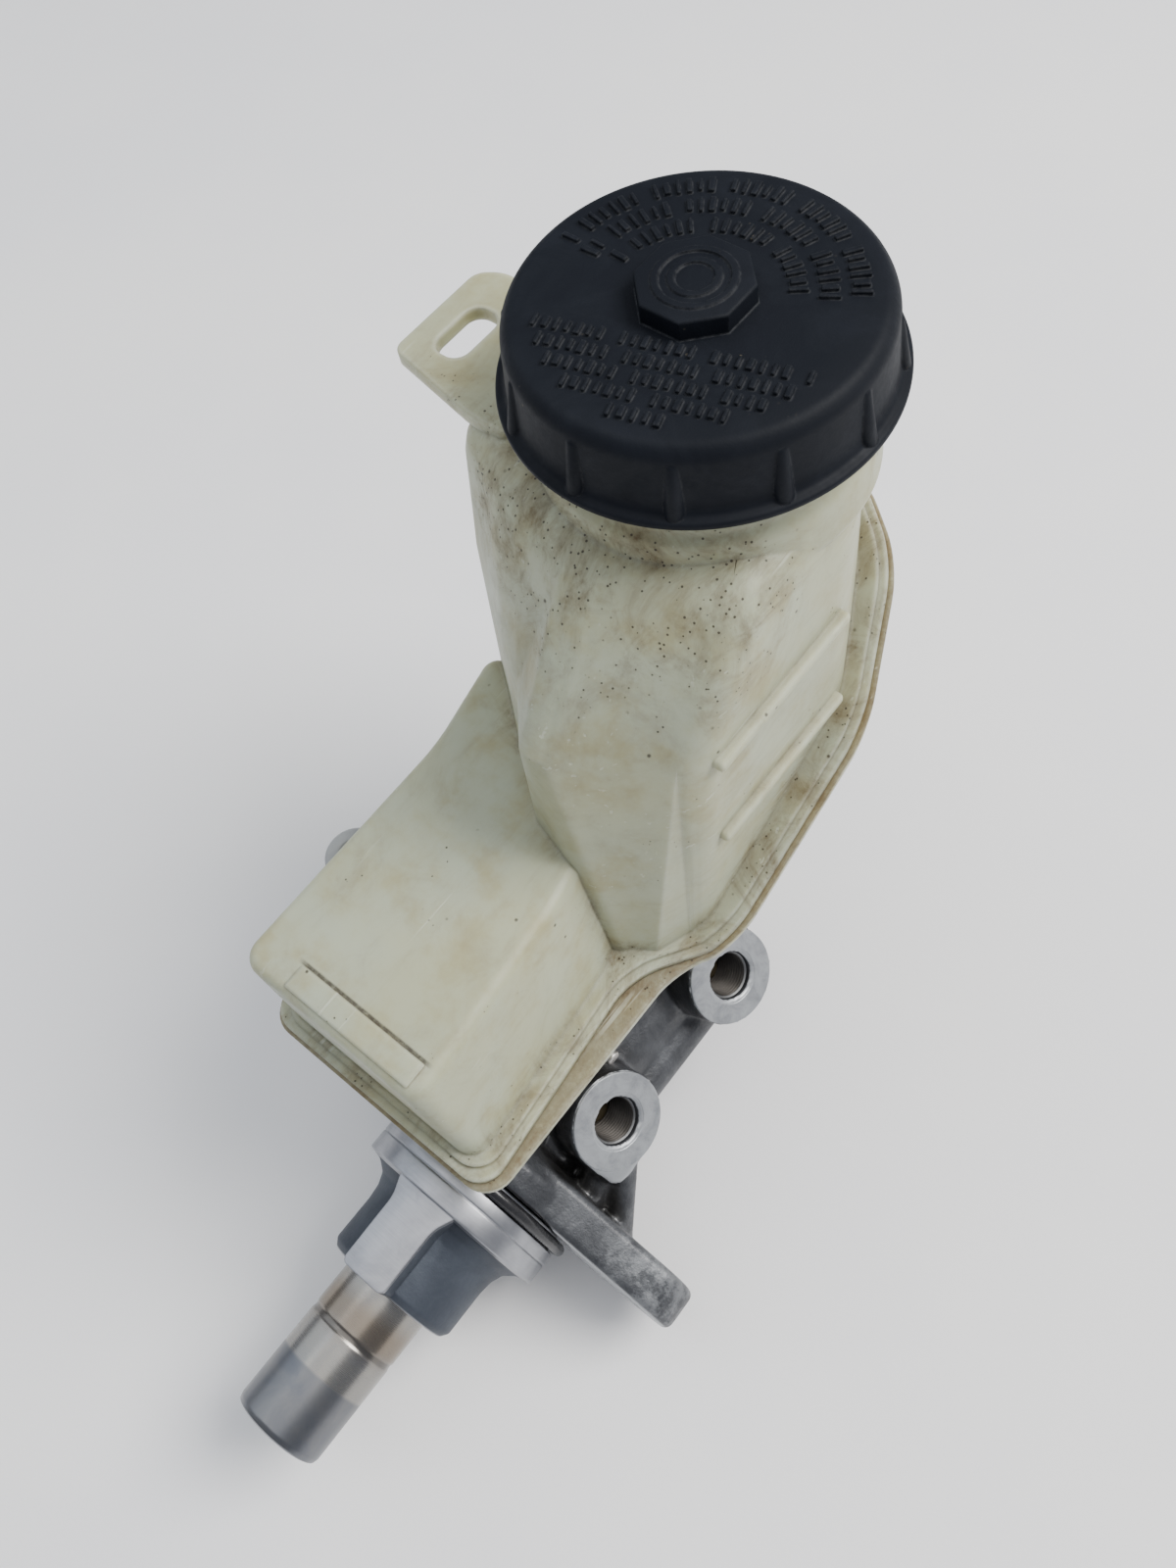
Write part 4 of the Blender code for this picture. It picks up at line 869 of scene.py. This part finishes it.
def buildLowerShell(finish):
    lower = {"foot": 14.0, "wingTop": 99.0, "roof": 149.0, "spigot": 6.0, "feed": 3.6,
             "guidePin": 2.0, "pinHole": 2.1}
    rear, front = tank["ends"]
    slope = tank["seamSlope"]
    floor = tank["floor"]
    bend = tank["floorBend"]
    shell = tankBlock(-tank["tray"], lower["foot"], lower["wingTop"], lower["roof"])
    outline = [(rear, floor), (bend, floor), (front, floor + (front - bend) * slope)]
    outline += [(y, seamAt(y) - tank["gap"]) for y in (front, tank["seamBend"], rear)]
    boolean(shell, tool(slab(outline)), "INTERSECT")
    boolean(shell, rimPlate(rimOutline(True), -2.15, -tank["gap"]), "UNION")
    for y in tank["spigots"]:
        boolean(shell, tool(rod((0.0, y, 21.6), (0.0, y, 38.0), lower["spigot"], 48)), "UNION")
    pin = middle("reservoir_pin")
    for side in (-1.0, 1.0):
        low = min(side * 9.4, side * 13.6)
        high = max(side * 9.4, side * 13.6)
        lug = block((low, pin.y - 4.0, pin.z - 3.3), (high, pin.y + 4.6, 37.0), 0.8)
        boolean(shell, tool(lug), "UNION")
    inside = tankBlock(-tank["tray"] - tank["wall"], lower["foot"] + 1.0, lower["wingTop"],
                       lower["roof"])
    floor += tank["wall"]
    bend -= 1.4
    hollow = [(rear, floor), (bend, floor), (front, floor + (front - bend) * slope),
              (front, 140.0), (rear, 140.0)]
    boolean(inside, tool(slab(hollow)), "INTERSECT")
    boolean(shell, inside, "DIFFERENCE")
    post = middle("level_float")
    boolean(shell, tool(rod((post.x, post.y, 37.0), (post.x, post.y, 68.0), lower["guidePin"],
                            24)), "UNION")
    for y in tank["spigots"]:
        boolean(shell, tool(rod((0.0, y, 10.0), (0.0, y, 42.0), lower["feed"], 32)), "DIFFERENCE")
    boolean(shell, tool(rod((-30.0, pin.y, pin.z), (30.0, pin.y, pin.z), lower["pinHole"], 24)),
            "DIFFERENCE")
    return settle(shell, "lowerShell", finish, "housing", ("reservoir_lower_shell",))


# cast body and its ports

port = {"lean": 50.0, "y": (28.7, 74.2), "face": 31.5, "radius": 12.6, "thread": 6.0,
        "depth": 15.0, "pitch": 1.0}

# the way a port faces, for the finishes, in metres
facing = {"across": math.sin(math.radians(port["lean"])),
          "up": math.cos(math.radians(port["lean"])), "face": port["face"] * mm}


def buildBody():
    # a copy of the solid, fused into one skin and softened like a casting
    rough = {"voxel": 0.00075, "smooth": 6}
    mesh = bmesh.new()
    mesh.from_mesh(nodes["body_casting"].data)
    bmesh.ops.remove_doubles(mesh, verts=mesh.verts, dist=0.000002)
    bmesh.ops.scale(mesh, vec=(1.0 / mm,) * 3, verts=mesh.verts)
    piece = place(mesh, "castBody", None, None)
    remesh = piece.modifiers.new("fuse", "REMESH")
    remesh.mode = "VOXEL"
    remesh.voxel_size = rough["voxel"]
    smooth = piece.modifiers.new("soften", "SMOOTH")
    smooth.factor = 0.5
    smooth.iterations = rough["smooth"]
    applied(piece)
    return settle(piece, "castBody", castMetal("castMetal", facing), "housing", ("body_casting",),
                  80.0)


def leanedOut(mesh, y):
    lean = Matrix.Rotation(math.radians(port["lean"]), 4, "Y")
    bmesh.ops.transform(mesh, matrix=Matrix.Translation((0.0, y, 0.0)) @ lean, verts=mesh.verts)
    return mesh


def buildPorts(finish):
    # machined land, chamfer and thread of each outlet
    for label, y in zip(("Rear", "Front"), port["y"]):
        face = port["face"] + 0.06
        bottom = port["face"] - port["depth"] + 0.4
        land = port["radius"] - 0.35
        profile = [(port["thread"] + 0.35, bottom), (port["thread"] - 0.1, bottom)]
        along = bottom + 0.6
        while along < face - 1.6:
            profile += [(port["thread"] - 0.55, along), (port["thread"] + 0.05, along + 0.5)]
            along += port["pitch"]
        profile += [(port["thread"] + 0.1, face - 1.2), (port["thread"] + 1.1, face - 0.1),
                    (port["thread"] + 1.3, face), (land - 0.2, face), (land, face - 0.2),
                    (land, face - 0.8), (port["thread"] + 1.5, face - 1.4)]
        mesh = leanedOut(lathe(profile, "Z", steps=96), y)
        place(mesh, "portThread" + label, finish, "housing", (), "turned_metal", 25.0)


def buildSeats(finish):
    for label, y in zip(("rear", "front"), port["y"]):
        base = port["face"] - port["depth"]
        profile = rounded([(1.2, base + 0.3), (5.4, base + 0.3), (5.4, base + 1.8),
                           (3.4, base + 4.6), (1.2, base + 4.6)], 0.25)
        mesh = leanedOut(lathe(profile, "Z", steps=64), y)
        place(mesh, "flareSeat_" + label, finish, "housing", ("outlet_seat_" + label,),
              "seat_brass")


# guide, piston and seals

def buildGuide():
    guide = {"plug": 19.0, "groove": 17.2, "flange": 24.4, "ring": 26.0, "step": -12.5,
             "nose": 18.0, "end": -35.5, "bore": 12.2, "mouth": 14.8, "clip": 15.9, "cup": 16.5,
             "rib": 6.4, "flare": 9.5, "pocket": 15.6, "back": 25.4, "inBright": 23.6}
    plug = guide["plug"]
    ring = guide["ring"]
    nose = guide["nose"]
    bore = guide["bore"]
    mouth = guide["mouth"]
    step = guide["step"]
    end = guide["end"]
    outer = rounded([(bore, 8.0), (plug, 8.0), (plug, 5.6), (guide["groove"], 5.6),
                     (guide["groove"], 2.4), (plug, 2.4), (plug, 0.2), (guide["flange"], 0.2),
                     (guide["flange"], -3.9), (ring, -3.9), (ring, -7.0), (ring - 0.3, -7.3),
                     (ring, -7.6), (ring, step), (22.2, -13.4), (19.6, -15.4), (18.4, -18.4),
                     (nose, -22.0), (nose, end + 1.9), (nose - 1.4, end), (mouth, end),
                     (mouth, -33.2), (guide["clip"], -33.2), (guide["clip"], -31.6),
                     (mouth, -31.6), (mouth, -21.4), (bore, -21.4), (bore, -8.2),
                     (guide["cup"], -8.2), (guide["cup"], -3.2), (bore, -3.2)], 0.5, 3)
    piece = tool(lathe(outer, "Y", steps=128))
    wide = guide["flare"]
    narrow = guide["rib"]
    outline = [(-narrow, end), (narrow, end), (narrow, -17.5), (wide, -10.5), (-wide, -10.5),
               (-narrow, -17.5)]
    # each rib's back is turned to the same round as the ring
    disc = rounded([(0.0, -40.0), (24.0, -40.0), (24.6, -34.5), (25.6, -12.0), (25.6, 0.0),
                    (0.0, 0.0)], 0.4)
    for side in (1.0, -1.0):
        low = guide["pocket"] * side
        high = guide["back"] * side
        ribs = bmesh.new()
        face = ribs.faces.new([ribs.verts.new((x, y, low)) for x, y in outline])
        extruded(ribs, face, (0.0, 0.0, high - low))
        tall = [edge for edge in ribs.edges
                if abs(edge.verts[0].co.z - edge.verts[1].co.z) > 0.5]
        bmesh.ops.bevel(ribs, geom=tall, offset=1.6, segments=4, profile=0.5, affect="EDGES",
                        material=-1)
        rib = boolean(tool(ribs), tool(lathe(disc, "Y", steps=128)), "INTERSECT")
        boolean(piece, rib, "UNION")
    finish = guideMetal("guideMetal", step * mm, {"bright": guide["inBright"] * mm, "end": end * mm})
    return settle(piece, "guideShell", finish, "housing", ("piston_guide",))


def buildPiston():
    low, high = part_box("primary_piston")
    piston = {"radius": (high.x - low.x) / mm / 2.0, "rear": low.y / mm, "front": high.y / mm,
              "socket": 5.6, "pocket": 8.3, "stemHole": 2.7, "mark": -48.1, "blued": -58.5}
    r = piston["radius"]
    rear = piston["rear"]
    front = piston["front"]
    socket = piston["socket"]
    hole = piston["stemHole"]
    profile = rounded([(0.0, -34.0), (socket, -38.0), (socket, rear + 1.0), (socket + 1.0, rear),
                       (r - 1.6, rear), (r - 0.4, rear + 0.5), (r, rear + 1.8), (r, -49.2),
                       (r - 0.25, -48.6), (r - 0.25, -47.6), (r, -47.0), (r, front - 0.8),
                       (r - 0.6, front), (piston["pocket"], front), (piston["pocket"], 0.0),
                       (hole, 0.0), (hole, -9.0), (0.0, -9.0)], 0.3)
    mesh = lathe(profile, "Y", steps=128)
    finish = pistonSteel("pistonSteel", {"ring": piston["mark"] * mm, "blue": piston["blued"] * mm})
    return place(mesh, "pistonRod", finish, "primary", ("primary_piston",), "ground_steel")


def ringMesh(node):
    low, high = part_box(node)
    centre = (low + high) / 2.0 / mm
    outer = (high.x - low.x) / mm / 2.0
    wire = (high.y - low.y) / mm / 2.0
    profile = []
    for step in range(20):
        angle = math.tau * step / 20.0
        profile.append((outer - wire + wire * math.cos(angle), centre.y + wire * math.sin(angle)))
    return lathe(profile, "Y", steps=144)


def buildSeals():
    gloss = sealRubber("glossRubber", 0.16)
    for node, name in (("flange_o_ring", "flangeRing"), ("guide_o_ring", "guideRing")):
        place(ringMesh(node), name, gloss, "housing", (node,), "seal_rubber", 80.0)
    soft = sealRubber("grommetRubber", 0.4)
    for node, name in (("grommet_rear", "inletGrommetRear"), ("grommet_front", "inletGrommetFront")):
        spot = middle(node)
        profile = rounded([(6.3, 20.3), (9.1, 20.3), (9.9, 21.4), (9.9, 29.3), (11.6, 29.3),
                           (11.6, 31.4), (10.6, 32.2), (6.3, 32.2)], 0.4)
        place(lathe(profile, "Z", (0.0, spot.y, 0.0), 80), name, soft, "housing", (node,),
              "seal_rubber")


# level switch and retaining pin

def buildSensor(finish):
    spot = middle("level_switch")
    low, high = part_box("level_switch")
    top = high.z / mm
    profile = rounded([(0.0, top - 0.6), (3.6, top - 0.6), (4.0, top), (6.4, top), (7.2, top - 0.8),
                       (7.5, top - 2.4), (7.5, 56.6), (7.1, 56.2), (7.1, 55.2), (7.5, 54.8),
                       (7.5, 52.45), (3.0, 52.45), (3.0, 44.0), (2.2, 42.6), (0.0, 42.6)], 0.35)
    mesh = lathe(profile, "Z", (spot.x, spot.y, 0.0), 80)
    place(mesh, "levelSensor", finish, "housing", ("level_switch",), "grey_plastic")


def buildPin(finish):
    low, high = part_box("reservoir_pin")
    spot = middle("reservoir_pin")
    half = (high.x - low.x) / mm / 2.0
    mesh = rod((spot.x - half, spot.y, spot.z), (spot.x + half, spot.y, spot.z), 1.8, 40, None, 0.4)
    place(mesh, "retainingPin", finish, "housing", ("reservoir_pin",), "ground_steel")


# springs inside the bore

def buildSpring(node, name, body, turns, finish):
    low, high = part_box(node)
    wire = 0.9
    radius = (high.x - low.x) / mm / 2.0 - wire
    start = low.y / mm + wire
    end = high.y / mm - wire
    curve = bpy.data.curves.new(name, "CURVE")
    curve.dimensions = "3D"
    curve.bevel_depth = wire * mm
    curve.bevel_resolution = 4
    curve.use_fill_caps = True
    line = curve.splines.new("POLY")
    steps = int(turns * 32)
    line.points.add(steps)
    for step, point in enumerate(line.points):
        share = step / steps
        lift = min(1.0, max(0.0, (share * turns - 0.5) / (turns - 1.0)))
        angle = math.tau * turns * share
        point.co = (radius * math.cos(angle) * mm, (start + (end - start) * lift) * mm,
                    radius * math.sin(angle) * mm, 1.0)
    holder = bpy.data.objects.new("wire", curve)
    bpy.context.scene.collection.objects.link(holder)
    bpy.context.view_layer.update()
    graph = bpy.context.evaluated_depsgraph_get()
    mesh = bmesh.new()
    mesh.from_mesh(bpy.data.meshes.new_from_object(holder.evaluated_get(graph)))
    bpy.data.objects.remove(holder, do_unlink=True)
    bmesh.ops.scale(mesh, vec=(1.0 / mm,) * 3, verts=mesh.verts)
    piece = place(mesh, name, finish, body, (node,), "spring_steel", 60.0)
    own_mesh(piece)


def dressHidden():
    # nodes kept as they are, with a finish of their own
    rubber = sealRubber("cupRubber", 0.3)
    steel = plainMetal("springSteel", (0.34, 0.35, 0.37), 0.25)
    bright = plainMetal("stampedSteel", (0.5, 0.5, 0.52), 0.25)
    white = mouldedPlastic("strainerPlastic", (0.62, 0.62, 0.56))
    black = mouldedPlastic("floatPlastic", (0.02, 0.022, 0.026))
    brass = plainMetal("terminalBrass", (0.6, 0.45, 0.2), 0.22)
    worn = mouldedPlastic("bushPlastic", (0.2, 0.21, 0.22))
    chosen = {"guide_cup": rubber, "primary_cup": rubber, "divider_cup": rubber,
              "secondary_cup": rubber, "cap_seal": rubber, "primary_stem": steel,
              "secondary_stem": steel, "snap_ring": steel, "float_magnet": steel,
              "primary_spring_retainer": bright, "secondary_spring_retainer": bright,
              "secondary_piston": plainMetal("anodisedPiston", (0.42, 0.43, 0.45), 0.3),
              "filler_strainer": white, "level_float": black, "guide_bush": worn,
              "switch_terminal_a": brass, "switch_terminal_b": brass}
    for node, finish in chosen.items():
        data = nodes[node].data
        data.materials.clear()
        data.materials.append(finish)


buildStudio()
buildFloor()
buildCap()
print("cap ready")
seam = (tank["seam"] * mm, tank["seamBend"] * mm, tank["seamSlope"])
milky = tankPlastic("tankPlastic", seam)
buildUpperShell(milky)
buildLowerShell(milky)
print("reservoir ready")
buildBody()
machined = machinedFace("portFace", facing)
buildPorts(machined)
buildSeats(plainMetal("seatBrass", (0.16, 0.13, 0.08), 0.35))
print("cast body ready")
buildGuide()
buildPiston()
buildSeals()
buildSensor(mouldedPlastic("sensorPlastic", (0.3, 0.31, 0.31)))
buildPin(plainMetal("pinSteel", (0.55, 0.53, 0.5), 0.3))
print("guide, piston and fittings ready")
wireSteel = plainMetal("wireSteel", (0.3, 0.31, 0.33), 0.25)
buildSpring("primary_spring", "primaryCoil", "primary",
            6.0, wireSteel)
buildSpring("secondary_spring", "secondaryCoil", "housing",
            5.0, wireSteel)
dressHidden()
print("inner pieces ready")
